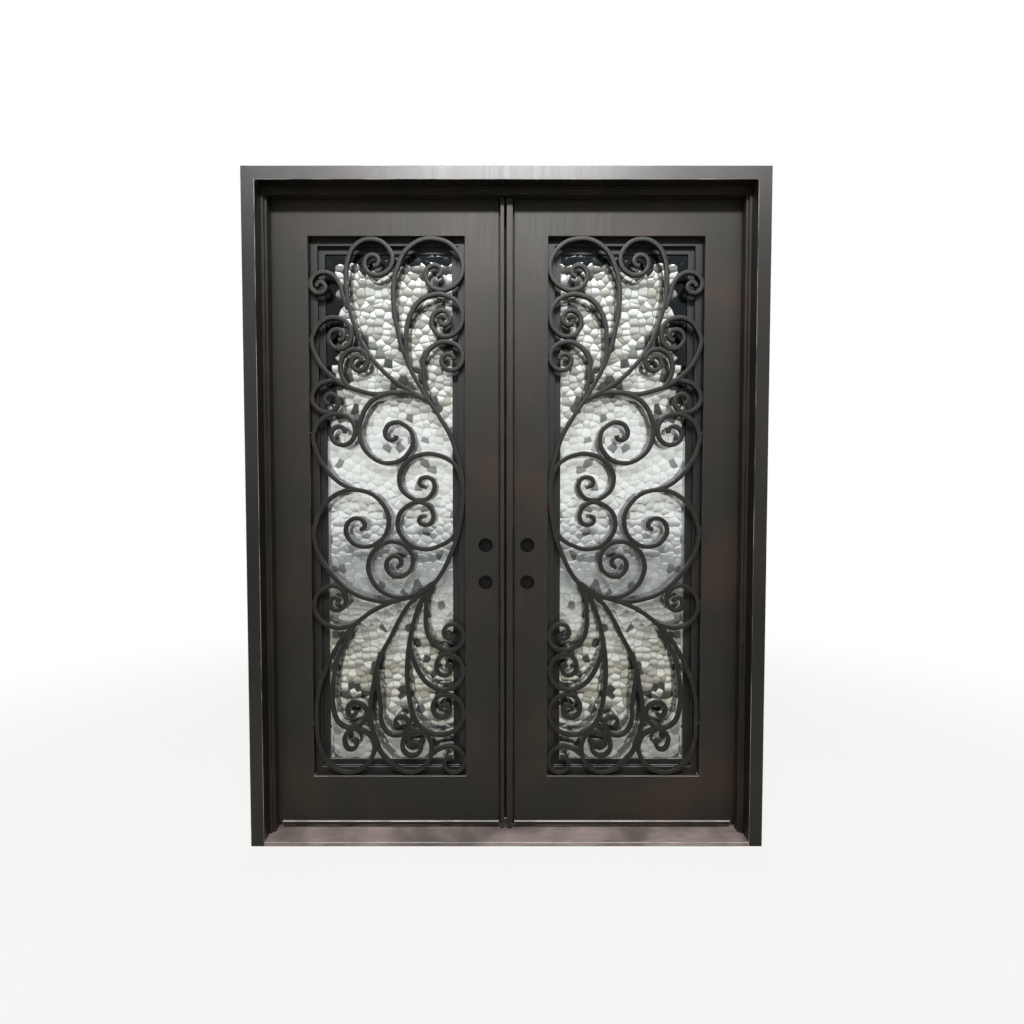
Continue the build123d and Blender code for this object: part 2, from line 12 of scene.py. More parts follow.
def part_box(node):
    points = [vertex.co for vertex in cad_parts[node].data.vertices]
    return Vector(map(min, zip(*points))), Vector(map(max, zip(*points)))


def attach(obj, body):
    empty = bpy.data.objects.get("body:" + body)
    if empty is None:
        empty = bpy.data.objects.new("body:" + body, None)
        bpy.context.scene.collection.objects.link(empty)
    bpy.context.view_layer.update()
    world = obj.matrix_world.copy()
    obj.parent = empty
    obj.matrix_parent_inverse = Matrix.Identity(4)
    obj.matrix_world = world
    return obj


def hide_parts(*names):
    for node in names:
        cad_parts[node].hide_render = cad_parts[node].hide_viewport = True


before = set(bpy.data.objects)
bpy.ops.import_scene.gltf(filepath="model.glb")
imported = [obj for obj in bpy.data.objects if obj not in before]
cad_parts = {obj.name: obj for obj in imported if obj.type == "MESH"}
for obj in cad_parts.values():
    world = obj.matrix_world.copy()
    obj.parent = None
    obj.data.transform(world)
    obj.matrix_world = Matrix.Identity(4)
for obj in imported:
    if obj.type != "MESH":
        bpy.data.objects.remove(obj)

LOG = logging.getLogger("iron_door")
MM = 0.001
# Points this close are one point, and faces turned by fewer degrees are one face
WELD_DISTANCE = 0.02 * MM
FLAT_ANGLE = 0.6
# Scale of the noise by which the glass's pebbles stray from an even pattern
DRIFT_SCALE = 14.0

Colour = tuple[float, float, float]
Feed = Union[bpy.types.NodeSocket, float, int, Sequence[float]]


def opaque(colour: Colour) -> tuple[float, float, float, float]:
    """Colour with full alpha, as sockets take it."""
    return (*colour, 1.0)


class Board:
    """Lays out a shader or geometry node tree.

    Args:
        tree: The tree that gets the nodes.
    """

    def __init__(self, tree: bpy.types.NodeTree) -> None:
        """Start on a tree."""
        self.tree = tree

    def node(self, kind: str, feeds: Optional[dict] = None, **settings) -> bpy.types.Node:
        """Add a node.

        Args:
            kind: Blender's class name of the node.
            feeds: Values or sockets for its inputs, by name or number.
            settings: The node's own properties.

        Returns:
            The new node.
        """
        made = self.tree.nodes.new(kind)
        for name, value in settings.items():
            setattr(made, name, value)
        for key, value in (feeds or {}).items():
            self.feed(made.inputs[key], value)
        return made

    def first(self, kind: str, feeds: Optional[dict] = None, **settings) -> bpy.types.NodeSocket:
        """First output of a new node, which is described as in node."""
        return self.node(kind, feeds, **settings).outputs[0]

    def feed(self, socket: bpy.types.NodeSocket, value: Feed) -> None:
        """Link a socket to an input, or set the input's own value.

        Args:
            socket: The input.
            value: What it gets.
        """
        if isinstance(value, bpy.types.NodeSocket):
            self.tree.links.new(value, socket)
        else:
            socket.default_value = value

    def math(self, operation: str, first: Feed, second: Feed = 0.0) -> bpy.types.NodeSocket:
        """Result of one arithmetic step."""
        return self.node("ShaderNodeMath", {0: first, 1: second}, operation=operation).outputs[0]

    def vector(self, operation: str, first: Feed, second: Feed) -> bpy.types.NodeSocket:
        """Result of one vector step."""
        made = self.node("ShaderNodeVectorMath", {0: first, 1: second}, operation=operation)
        return made.outputs["Value" if operation == "DOT_PRODUCT" else "Vector"]

    def remap(self, value: Feed, low: float, high: float, start: float = 0.0, end: float = 1.0,
              ease: str = "SMOOTHSTEP") -> bpy.types.NodeSocket:
        """Carry the range low to high over to start to end.

        Args:
            value: The value to carry over.
            low: Where the source range begins.
            high: Where the source range ends.
            start: Result at low.
            end: Result at high.
            ease: How the result moves in between.

        Returns:
            The carried value, held between start and end.
        """
        feeds = {"Value": value, "From Min": low, "From Max": high, "To Min": start, "To Max": end}
        return self.node("ShaderNodeMapRange", feeds, interpolation_type=ease).outputs["Result"]

    def mix(self, share: Feed, low: Feed, high: Feed) -> bpy.types.NodeSocket:
        """Colour between two colours."""
        made = self.node("ShaderNodeMix", {0: share, 6: low, 7: high}, data_type="RGBA")
        return made.outputs[2]

    def noise(self, place: Feed, scale: float, detail: float = 4.0) -> bpy.types.NodeSocket:
        """Soft noise between 0 and 1."""
        feeds = {"Vector": place, "Scale": scale, "Detail": detail}
        return self.node("ShaderNodeTexNoise", feeds).outputs["Fac"]

    def stretched(self, place: Feed, stretch: Sequence[float]) -> bpy.types.NodeSocket:
        """Place with each axis multiplied."""
        return self.node("ShaderNodeMapping", {"Vector": place, "Scale": stretch}).outputs["Vector"]

    def axes(self, place: Feed) -> bpy.types.NodeOutputs:
        """The X, Y and Z of a vector, by name."""
        return self.node("ShaderNodeSeparateXYZ", {"Vector": place}).outputs

    def point(self, **parts: Feed) -> bpy.types.NodeSocket:
        """Vector with the given X, Y and Z, and 0 for those that are left out."""
        return self.first("ShaderNodeCombineXYZ", parts)

    def scaled(self, vector: Feed, factor: Feed) -> bpy.types.NodeSocket:
        """Vector multiplied by a number."""
        return self.first("ShaderNodeVectorMath", {0: vector, "Scale": factor}, operation="SCALE")

    def drift(self, place: Feed, reach: Feed) -> bpy.types.NodeSocket:
        """Way by which the glass's pebbles stray from an even pattern.

        Args:
            place: Flat place, measured from the pane's middle.
            reach: Width of the band in which they stray.

        Returns:
            The vector to add to the place.
        """
        feeds = {"Vector": place, "Scale": DRIFT_SCALE, "Detail": 2.0}
        cloud = self.node("ShaderNodeTexNoise", feeds).outputs["Color"]
        return self.scaled(self.vector("SUBTRACT", cloud, (0.5, 0.5, 0.5)), reach)

    def bump(self, height: Feed, distance: float, strength: float = 1.0,
             below: Optional[bpy.types.NodeSocket] = None) -> bpy.types.NodeSocket:
        """Normal tilted by a height, over an optional coarser normal.

        Args:
            height: Height between 0 and 1.
            distance: How far a height of 1 stands out.
            strength: Share of the tilt that shows.
            below: Normal of the coarser relief.

        Returns:
            The tilted normal.
        """
        feeds = {"Height": height, "Distance": distance, "Strength": strength}
        if below is not None:
            feeds["Normal"] = below
        return self.node("ShaderNodeBump", feeds).outputs["Normal"]


class ShaderBoard(Board):
    """Board of a new material with one Principled shader.

    Args:
        name: Name of the material.
    """

    def __init__(self, name: str) -> None:
        """Start a material with its shader and output."""
        self.material = bpy.data.materials.new(name)
        self.material.use_nodes = True
        super().__init__(self.material.node_tree)
        self.tree.nodes.clear()
        self.shader = self.node("ShaderNodeBsdfPrincipled")
        self.node("ShaderNodeOutputMaterial", {"Surface": self.shader.outputs[0]})
        self.place = self.node("ShaderNodeTexCoord").outputs["Object"]

    def set(self, **values: Feed) -> None:
        """Feed the shader's inputs, with underscores for the spaces in their names."""
        for name, value in values.items():
            self.feed(self.shader.inputs[name.replace("_", " ")], value)


class Grain(Enum):
    """Direction of the rubbing marks in a finish."""

    UPRIGHT = (70.0, 70.0, 2.0)
    LEVEL = (2.0, 70.0, 70.0)
    NONE = (9.0, 9.0, 9.0)


@dataclass(frozen=True)
class BronzePaint:
    """Dark bronze paint, rubbed back so that warmer metal glows through."""

    name: str
    deep: Colour
    warm: Colour
    grain: Grain = Grain.UPRIGHT
    cloud_scale: float = 2.6
    warm_share: float = 0.55
    smooth: float = 0.45
    dull: float = 0.52
    shine: float = 0.34
    peel_scale: float = 520.0
    peel_height: float = 0.03 * MM

    def build(self) -> bpy.types.Material:
        """Make the material.

        Returns:
            The new material.
        """
        board = ShaderBoard(self.name)
        clouds = board.noise(board.place, self.cloud_scale, 6.0)
        marks = board.noise(board.stretched(board.place, self.grain.value), 3.0, 3.0)
        speckle = board.noise(board.place, 160.0, 2.0)
        share = board.math("MULTIPLY", board.remap(clouds, 0.42, 0.68), self.warm_share)
        share = board.math("ADD", share, board.remap(marks, 0.45, 0.75, 0.0, 0.08))
        tone = board.mix(share, opaque(self.deep), opaque(self.warm))
        lifted = tuple(min(1.0, 1.9 * part) for part in self.warm)
        tone = board.mix(board.remap(speckle, 0.62, 0.8, 0.0, 0.3), tone, opaque(lifted))
        gloss = board.remap(marks, 0.3, 0.7, self.smooth, self.dull)
        peel = board.bump(board.noise(board.place, self.peel_scale, 2.0), self.peel_height)
        brushed = board.bump(marks, 0.012 * MM, 0.6, peel)
        board.set(Base_Color=tone, Roughness=gloss, Normal=brushed, Metallic=0.2)
        board.set(Specular_IOR_Level=self.shine)
        return board.material


@dataclass(frozen=True)
class RubbedEdge:
    """Arris of a painted piece, worn to a coppery bronze with a painted highlight, and dusty and
    painted lighter where it faces up.
    """

    name: str
    dark: Colour
    bright: Colour
    # Dust and painted highlight for the bevels that face up
    dust: Colour = (0.8, 0.76, 0.72)

    def build(self) -> bpy.types.Material:
        """Make the material.

        Returns:
            The new material.
        """
        board = ShaderBoard(self.name)
        wear = board.remap(board.noise(board.place, 7.0, 8.0), 0.38, 0.62)
        fine = board.noise(board.place, 260.0, 3.0)
        tone = board.mix(wear, opaque(self.dark), opaque(self.bright))
        facing = board.node("ShaderNodeNewGeometry").outputs["True Normal"]
        up = board.axes(facing)["Z"]
        patchy = board.remap(wear, 0.0, 1.0, 0.7, 1.0)
        # Dust and painted highlight: the bevels that face up are lightened
        dust_and_highlight_on_top = board.math("MULTIPLY", board.remap(up, 0.15, 0.6), patchy)
        tone = board.mix(dust_and_highlight_on_top, tone, opaque(self.dust))
        board.set(Base_Color=tone, Roughness=board.remap(fine, 0.3, 0.7, 0.26, 0.42))
        board.set(Metallic=0.55, Normal=board.bump(fine, 0.05 * MM))
        return board.material


@dataclass(frozen=True)
class ForgedIron:
    """Hammered bar under dark paint."""

    name: str
    deep: Colour
    worn: Colour
    dent_size: float = 14 * MM
    dent_depth: float = 0.14 * MM

    def build(self) -> bpy.types.Material:
        """Make the material.

        Returns:
            The new material.
        """
        board = ShaderBoard(self.name)
        feeds = {"Vector": board.place, "Scale": 1 / self.dent_size, "Smoothness": 0.6}
        dents = board.node("ShaderNodeTexVoronoi", feeds, feature="SMOOTH_F1").outputs["Distance"]
        fine = board.noise(board.place, 420.0, 4.0)
        wear = board.remap(board.noise(board.place, 16.0, 6.0), 0.5, 0.72, 0.0, 0.6)
        tone = board.mix(wear, opaque(self.deep), opaque(self.worn))
        hammered = board.bump(dents, self.dent_depth, 0.8)
        board.set(Base_Color=tone, Roughness=board.remap(fine, 0.3, 0.7, 0.42, 0.55))
        board.set(Specular_IOR_Level=0.36)
        board.set(Metallic=0.2, Normal=board.bump(fine, 0.06 * MM, 0.8, hammered))
        return board.material


@dataclass(frozen=True)
class TroddenSill:
    """Threshold whose paint is dusty and scuffed along the walking line, and painted lighter than the
    bronze, as if its top were lit from above.
    """

    name: str
    paint: Colour
    dust: Colour

    def build(self) -> bpy.types.Material:
        """Make the material.

        Returns:
            The new material.
        """
        board = ShaderBoard(self.name)
        dusty = board.remap(board.noise(board.place, 5.0, 8.0), 0.35, 0.65)
        scuffs = board.noise(board.stretched(board.place, (3.0, 60.0, 30.0)), 4.0, 5.0)
        grit = board.noise(board.place, 700.0, 3.0)
        share = board.math("MULTIPLY", dusty, board.remap(scuffs, 0.3, 0.7, 0.55, 1.0))
        # Paint and dust colours are both painted lighter, standing in for light on the top face
        tone = board.mix(share, opaque(self.paint), opaque(self.dust))
        marks = board.bump(scuffs, 0.1 * MM, 0.6)
        board.set(Base_Color=tone, Roughness=board.remap(scuffs, 0.3, 0.7, 0.42, 0.6))
        board.set(Normal=board.bump(grit, 0.08 * MM, 0.7, marks), Metallic=0.1)
        return board.material


@dataclass(frozen=True)
class BlackRubber:
    """Moulded rubber with a faint bloom."""

    name: str
    base: Colour
    bloom: Colour

    def build(self) -> bpy.types.Material:
        """Make the material.

        Returns:
            The new material.
        """
        board = ShaderBoard(self.name)
        bloom = board.remap(board.noise(board.place, 22.0, 5.0), 0.45, 0.75, 0.0, 0.7)
        ribs = board.noise(board.stretched(board.place, (1200.0, 1200.0, 30.0)), 1.0, 2.0)
        board.set(Base_Color=board.mix(bloom, opaque(self.base), opaque(self.bloom)))
        board.set(Roughness=board.remap(ribs, 0.3, 0.7, 0.6, 0.8))
        board.set(Normal=board.bump(ribs, 0.05 * MM))
        return board.material


@dataclass(frozen=True)
class BrushedSteel:
    """Blackened steel with brushing and light scratches; its near-black also stands in for the shade
    deep in the bores.
    """

    name: str
    dark: Colour
    light: Colour

    def build(self) -> bpy.types.Material:
        """Make the material.

        Returns:
            The new material.
        """
        board = ShaderBoard(self.name)
        brush = board.noise(board.stretched(board.place, (900.0, 900.0, 14.0)), 1.0, 3.0)
        stains = board.remap(board.noise(board.place, 18.0, 5.0), 0.4, 0.7, 0.0, 0.6)
        tone = board.mix(brush, opaque(self.dark), opaque(self.light))
        tone = board.mix(stains, tone, opaque(self.dark))
        board.set(Base_Color=tone, Metallic=0.85, Roughness=board.remap(brush, 0.2, 0.8, 0.28, 0.5))
        board.set(Normal=board.bump(brush, 0.03 * MM))
        return board.material


@dataclass(frozen=True)
class PebbledGlass:
    """Cast glass whose face is a layer of flattened pebbles.

    The pattern is laid out from the pane's lower lock-side corner with the
    same drift as in PaneTree, so that it sits exactly on the modelled pebbles
    of both leaves. The pane's own `ghost` attribute marks the
    pebbles that get a painted reflection of a bar, in near-black.
    """

    name: str
    pebble: float
    wander: float
    corner: tuple[float, float]
    width: float
    height: float
    scatter: float = 0.85
    selvedge: float = 30 * MM
    pale: Colour = (0.95, 0.96, 0.92)
    cream: Colour = (0.46, 0.44, 0.38)
    # Painted light: cool tint for the middle of the pane, standing in for the bluish backdrop seen
    # through the glass
    cool: Colour = (0.95, 1.0, 1.0)
    smoke: Colour = (0.42, 0.46, 0.46)
    # Painted shade: olive for the lower side of each pebble and the grooves between them
    olive: Colour = (0.17, 0.18, 0.15)
    # Painted reflection: near-black for the pebbles that stand in for the bars mirrored in the glass
    mirrored_bar: Colour = (0.035, 0.042, 0.038)
    # Painted shade and reflection of the dark frame along the pane's top and upper hinge side
    dark: Colour = (0.012, 0.014, 0.015)
    calm_from: float = 0.56
    calm_to: float = 1.36
    calm_edge: float = 0.16

    def build(self) -> bpy.types.Material:
        """Make the material.

        Returns:
            The new material.
        """
        board = ShaderBoard(self.name)
        place = self.spot(board)
        feeds = {"Vector": place, "Scale": 1 / self.pebble, "Randomness": self.scatter}
        cells = board.node("ShaderNodeTexVoronoi", feeds, voronoi_dimensions="2D").outputs
        rims = board.node("ShaderNodeTexVoronoi", feeds, voronoi_dimensions="2D",
                          feature="DISTANCE_TO_EDGE").outputs["Distance"]
        lot = board.node("ShaderNodeSeparateColor", {"Color": cells["Color"]}).outputs
        away = board.vector("SUBTRACT", place, cells["Position"])
        rise = board.axes(away)["Y"]
        calm = self.calm_zone(board, cells["Position"])
        tone = board.mix(board.remap(lot[0], 0.2, 0.95), opaque(self.pale), opaque(self.cream))
        # Painted light: the middle is tinted cool, as the backdrop seen through the glass
        tone = board.mix(board.math("MULTIPLY", calm, 0.8), tone, opaque(self.cool))
        # Painted shade: the lower part of each pebble is darkened, as if lit from above
        under = board.remap(rise, -0.42 * self.pebble, 0.12 * self.pebble, 0.8, 0.0)
        tone = board.mix(board.math("MULTIPLY", under, board.remap(calm, 0.0, 1.0, 1.0, 0.2)),
                         tone, opaque(self.olive))
        # Painted shade in the grooves between the pebbles
        painted_groove_shade = board.remap(rims, 0.0, 0.08, 1.0, 0.0)
        depth = board.math("MULTIPLY", painted_groove_shade, board.remap(calm, 0.0, 1.0, 0.75, 0.25))
        tone = board.mix(depth, tone, opaque(self.olive))
        # Painted reflection of the bars: picked pebbles under the pane's mark are darkened to
        # near-black
        ghost = board.node("ShaderNodeAttribute", attribute_name="ghost").outputs["Fac"]
        chosen = board.math("LESS_THAN", lot[1], board.remap(calm, 0.0, 1.0, 0.6, 0.3))
        strength = board.math("MULTIPLY", chosen, board.remap(calm, 0.0, 1.0, 0.95, 0.7))
        tone = board.mix(board.math("MULTIPLY", ghost, strength), tone, opaque(self.mirrored_bar))
        tone = board.mix(self.smooth_border(board, place), tone, opaque(self.smoke))
        # Painted shade and reflection of the dark frame on the top and upper hinge-side pebbles
        shaded = self.shaded_zone(board, cells["Position"], lot[1])
        tone = board.mix(shaded, tone, opaque(self.dark))
        fine = board.bump(board.noise(place, 300.0, 3.0), 0.08 * MM)
        board.set(Base_Color=tone, Roughness=board.remap(lot[2], 0.0, 1.0, 0.07, 0.16))
        board.set(Normal=fine, Metallic=0.75, IOR=1.5)
        return board.material

    def spot(self, board: ShaderBoard) -> bpy.types.NodeSocket:
        """Place on the pane, with the pebbles' drift.

        Args:
            board: Board of the material.

        Returns:
            The place from the lower lock-side corner, X towards the hinges and Y up.
        """
        axes = board.axes(board.place)
        outward = board.math("ABSOLUTE", axes["X"])
        across = board.math("SUBTRACT", outward, self.corner[0] + self.width / 2)
        up = board.math("SUBTRACT", axes["Z"], self.corner[1] + self.height / 2)
        flat = board.point(X=across, Y=up)
        drift = board.drift(flat, self.wander)
        flat = board.vector("ADD", flat, (self.width / 2, self.height / 2, 0.0))
        return board.vector("ADD", flat, drift)

    def calm_zone(self, board: Board, spot: Feed) -> bpy.types.NodeSocket:
        """Share of the pane's quiet middle at each pebble, where the glass gets a painted cool tint.

        Args:
            board: Board of the material.
            spot: Middle of the pebble.

        Returns:
            The share, 1 in the middle of the zone.
        """
        up = board.axes(spot)["Y"]
        up = board.math("ADD", up, board.remap(board.noise(spot, 5.0), 0.3, 0.7, -0.12, 0.12))
        edge = self.calm_edge
        rise = board.remap(up, self.calm_from - edge, self.calm_from + edge)
        fall = board.remap(up, self.calm_to - edge, self.calm_to + edge, 1.0, 0.0)
        return board.math("MULTIPLY", rise, fall)

    def smooth_border(self, board: Board, place: Feed) -> bpy.types.NodeSocket:
        """Unpatterned strip along the hinge side, and the greyer foot of the pane.

        Args:
            board: Board of the material.
            place: Place on the pane.

        Returns:
            The share of grey.
        """
        axes = board.axes(place)
        inside = board.math("SUBTRACT", self.width, axes["X"])
        strip = board.remap(inside, self.selvedge, self.selvedge + 0.004, 0.9, 0.0)
        foot = board.remap(axes["Y"], 0.02, 0.3, 0.75, 0.0)
        return board.math("MAXIMUM", strip, foot)

    def shaded_zone(self, board: Board, spot: Feed, lot: Feed) -> bpy.types.NodeSocket:
        """Painted shade and reflection of the dark frame on the pebbles, along the pane's top and
        upper hinge side.

        Args:
            board: Board of the material.
            spot: Middle of the pebble.
            lot: The pebble's random number, which frays the zone's edge.

        Returns:
            The share of painted shade and reflection.
        """
        axes = board.axes(spot)
        jitter = board.remap(lot, 0.0, 1.0, -0.018, 0.018, "LINEAR")
        under_top = board.math("SUBTRACT", self.height, axes["Y"])
        top = board.remap(board.math("ADD", under_top, jitter), 0.068, 0.088, 1.0, 0.0)
        reach = board.remap(under_top, 0.3, 0.85, 0.075, 0.0)
        inside = board.math("SUBTRACT", self.width, axes["X"])
        gap = board.math("SUBTRACT", board.math("ADD", inside, jitter), reach)
        side = board.remap(gap, -0.01, 0.012, 1.0, 0.0)
        return board.math("MAXIMUM", top, side)


class FinishShelf:
    """Every finish of the door, built once."""

    def __init__(self) -> None:
        """Build the finishes."""
        bronze = (0.0165, 0.0155, 0.0115)
        glow = (0.044, 0.026, 0.019)
        self.paint = BronzePaint("bronze_paint", bronze, glow).build()
        self.frame_paint = BronzePaint("frame_paint", (0.009, 0.0088, 0.0075),
                                       (0.024, 0.017, 0.0135), smooth=0.3, dull=0.36,
                                       shine=0.5).build()
        self.level_paint = BronzePaint("level_bronze_paint", bronze, glow, Grain.LEVEL).build()
        # Painted shade: a darker copy of the bronze paint for the recessed sash
        self.sash_paint = BronzePaint("sash_paint", (0.014, 0.0145, 0.0145),
                                      (0.024, 0.021, 0.018)).build()
        self.hinge_paint = BronzePaint("hinge_paint", (0.03, 0.026, 0.022), (0.07, 0.05, 0.035),
                                       Grain.NONE, 30.0).build()
        # Arris finishes: rubbed coppery bronze with a painted highlight; the bright one is mostly a
        # painted highlight line
        self.edge = RubbedEdge("rubbed_edge", (0.02, 0.018, 0.015), (0.085, 0.066, 0.055)).build()
        self.bright_edge = RubbedEdge("bright_edge", (0.06, 0.052, 0.046), (0.5, 0.42, 0.39)).build()
        self.iron = ForgedIron("forged_iron", (0.012, 0.0115, 0.0095), (0.028, 0.025, 0.02)).build()
        # Sill: dust and scuffs, plus painted light that makes the top much lighter than the bronze
        self.sill = TroddenSill("trodden_sill", (0.12, 0.10, 0.088), (0.36, 0.285, 0.255)).build()
        self.rubber = BlackRubber("black_rubber", (0.009, 0.009, 0.009), (0.03, 0.03, 0.031)).build()
        # Near-black lock case: blackened steel that also stands in for the shade deep in the bores
        self.steel = BrushedSteel("blackened_steel", (0.004, 0.004, 0.004),
                                  (0.022, 0.022, 0.023)).build()
        low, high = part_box("right_glass")
        self.glass = PebbledGlass("pebbled_glass", PebbledPane.pebble, PebbledPane.wander,
                                  (low.x, low.z), high.x - low.x, high.z - low.z).build()


def show(mesh: bpy.types.ID, name: str) -> bpy.types.Object:
    """Put a mesh or a curve into the scene.

    Args:
        mesh: Its data.
        name: Name of the new object.

    Returns:
        The new object.
    """
    piece = bpy.data.objects.new(name, mesh)
    bpy.context.scene.collection.objects.link(piece)
    return piece


def settle(piece: bpy.types.Object) -> bpy.types.Object:
    """Turn an object with live modifiers into one with a plain mesh.

    Args:
        piece: The object; it is taken out of the scene.

    Returns:
        A new object of the same name.
    """
    name = piece.name
    depsgraph = bpy.context.evaluated_depsgraph_get()
    mesh = bpy.data.meshes.new_from_object(piece.evaluated_get(depsgraph), depsgraph=depsgraph)
    bpy.data.objects.remove(piece)
    made = show(mesh, name)
    mesh.name = name
    return made


def hand_over(piece: bpy.types.Object, body: str, nodes: Iterable[str]) -> None:
    """Give a finished piece to its CAD body in place of CAD nodes.

    Args:
        piece: The finished object.
        body: The body that it moves with.
        nodes: The CAD nodes that it stands for.
    """
    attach(piece, body)
    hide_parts(*nodes)
    LOG.info("%s: %d faces on %s", piece.name, len(piece.data.polygons), body)


@dataclass
class Metalwork:
    """One or more CAD nodes welded into a piece with eased edges, which are rubbed and carry a
    painted highlight.
    """

    name: str
    nodes: tuple[str, ...]
    body: str
    slot: str
    face: bpy.types.Material
    arris: bpy.types.Material
    ease: float = 1.5 * MM
    steps: int = 2
    crease: float = 20.0
    facet: float = 5.2 * MM
    sharp: float = 40.0

    def build(self) -> bpy.types.Object:
        """Make the piece and hand it over.

        Returns:
            The finished piece.
        """
        piece = self.welded()
        piece.data.materials.clear()
        piece.data.materials.append(self.face)
        piece.data.materials.append(self.arris)
        self.ease_edges(piece)
        piece = settle(piece)
        self.shade(piece.data)
        hand_over(piece, self.body, self.nodes)
        return piece

    def shade(self, mesh: bpy.types.Mesh) -> None:
        """Shade round parts smooth, and every face wider than a facet flat.

        Args:
            mesh: The eased mesh.
        """
        mesh.set_sharp_from_angle(angle=math.radians(self.crease))
        for face in mesh.polygons:
            spots = [mesh.vertices[index].co for index in face.vertices]
            following = spots[1:] + spots[:1]
            longest = max((spot - other).length for spot, other in zip(spots, following))
            face.use_smooth = face.area < self.facet * longest

    def welded(self) -> bpy.types.Object:
        """Join the nodes' meshes without the seams between them.

        Returns:
            One object with the piece's name.
        """
        first, *others = [show(self.merged(node), self.name) for node in self.nodes]
        for other in others:
            weld = first.modifiers.new("weld", "BOOLEAN")
            weld.operation = "UNION"
            weld.solver = "EXACT"
            weld.object = other
        piece = settle(first)
        for other in others:
            bpy.data.objects.remove(other)
        piece.name = self.name
        self.flatten(piece.data)
        return piece

    def merged(self, node: str) -> bpy.types.Mesh:
        """Copy a node's mesh and join its loose triangles.

        Args:
            node: Name of the CAD node.

        Returns:
            The copy.
        """
        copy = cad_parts[node].data.copy()
        self.flatten(copy)
        return copy

    def flatten(self, mesh: bpy.types.Mesh) -> None:
        """Merge doubled points and make one face of each flat stretch.

        Args:
            mesh: The mesh to change.
        """
        work = bmesh.new()
        work.from_mesh(mesh)
        bmesh.ops.remove_doubles(work, verts=work.verts, dist=WELD_DISTANCE)
        bmesh.ops.dissolve_limit(work, angle_limit=math.radians(FLAT_ANGLE),
                                verts=work.verts, edges=work.edges)
        for face in work.faces:
            face.smooth = True
            face.material_index = 0
        work.to_mesh(mesh)
        work.free()

    def ease_edges(self, piece: bpy.types.Object) -> None:
        """Round the piece's sharp edges, in the arris finish.

        Args:
            piece: The welded object, which gets a bevel.
        """
        work = bmesh.new()
        work.from_mesh(piece.data)
        weight = work.edges.layers.float.new("bevel_weight_edge")
        for edge in work.edges:
            turned = edge.is_manifold and edge.calc_face_angle() > math.radians(self.sharp)
            edge[weight] = 1.0 if turned and edge.calc_length() > 2 * self.ease else 0.0
        work.to_mesh(piece.data)
        work.free()
        bevel = piece.modifiers.new("ease", "BEVEL")
        bevel.width = self.ease
        bevel.segments = self.steps
        bevel.limit_method = "WEIGHT"
        bevel.material = 1


@dataclass
class PressedSeal(Metalwork):
    """Meeting seal pressed against the other leaf's, with a tongue at each end."""

    tongue: float = 4 * MM

    def merged(self, node: str) -> bpy.types.Mesh:
        """Copy the seal's mesh and draw out its lip and its ends.

        Args:
            node: Name of the CAD node.

        Returns:
            The copy.
        """
        mesh = super().merged(node)
        line = (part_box("left_meeting_seal")[1].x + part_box("right_meeting_seal")[0].x) / 2
        low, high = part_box(node)
        for point in mesh.vertices:
            if abs(point.co.x - line) < abs((low.x + high.x) / 2 - line):
                point.co.x = line
            point.co.z += math.copysign(self.tongue, point.co.z - (low.z + high.z) / 2)
        return mesh


class Side(Enum):
    """A leaf of the door, with the direction from the middle to its hinges."""

    LEFT = -1
    RIGHT = 1

    @property
    def prefix(self) -> str:
        """How the side's CAD nodes and body begin."""
        return self.name.lower()

    def node(self, name: str) -> str:
        """Full name of a CAD node on this side."""
        return f"{self.prefix}_{name}"


class Compass(Enum):
    """Side of a volute, in quarter turns from the hinge side."""

    HINGE_SIDE = 0
    TOP = 1
    LOCK_SIDE = 2
    FOOT = 3


class Turn(Enum):
    """Way a volute rolls up, as seen with the hinges on the right."""

    WITH_CLOCK = -1
    AGAINST_CLOCK = 1


@dataclass(frozen=True)
class Volute:
    """Rolled end of a bar: radii a quarter turn apart, in millimetres."""

    centre: tuple[float, float]
    start: Compass
    turn: Turn
    radii: tuple[float, ...]

    def points(self) -> list[tuple[float, float]]:
        """Roll up the bar's middle line.

        Returns:
            Points an eighth of a turn apart, from the stem to the eye.
        """
        points = []
        for step in range(2 * len(self.radii) - 1):
            radius = math.sqrt(self.radii[step // 2] * self.radii[(step + 1) // 2])
            angle = math.radians(90 * self.start.value + 45 * self.turn.value * step)
            across = self.centre[0] + radius * math.cos(angle)
            up = self.centre[1] + radius * math.sin(angle)
            points.append((across, up))
        return points


@dataclass(frozen=True)
class Scroll:
    """Forged bar: points of its stem in millimetres, then its volute."""

    stem: tuple[tuple[float, float], ...]
    volute: Optional[Volute] = None

    def points(self) -> list[tuple[float, float]]:
        """Every point of the bar's middle line."""
        rolled = self.volute.points() if self.volute else []
        return [*self.stem, *rolled]


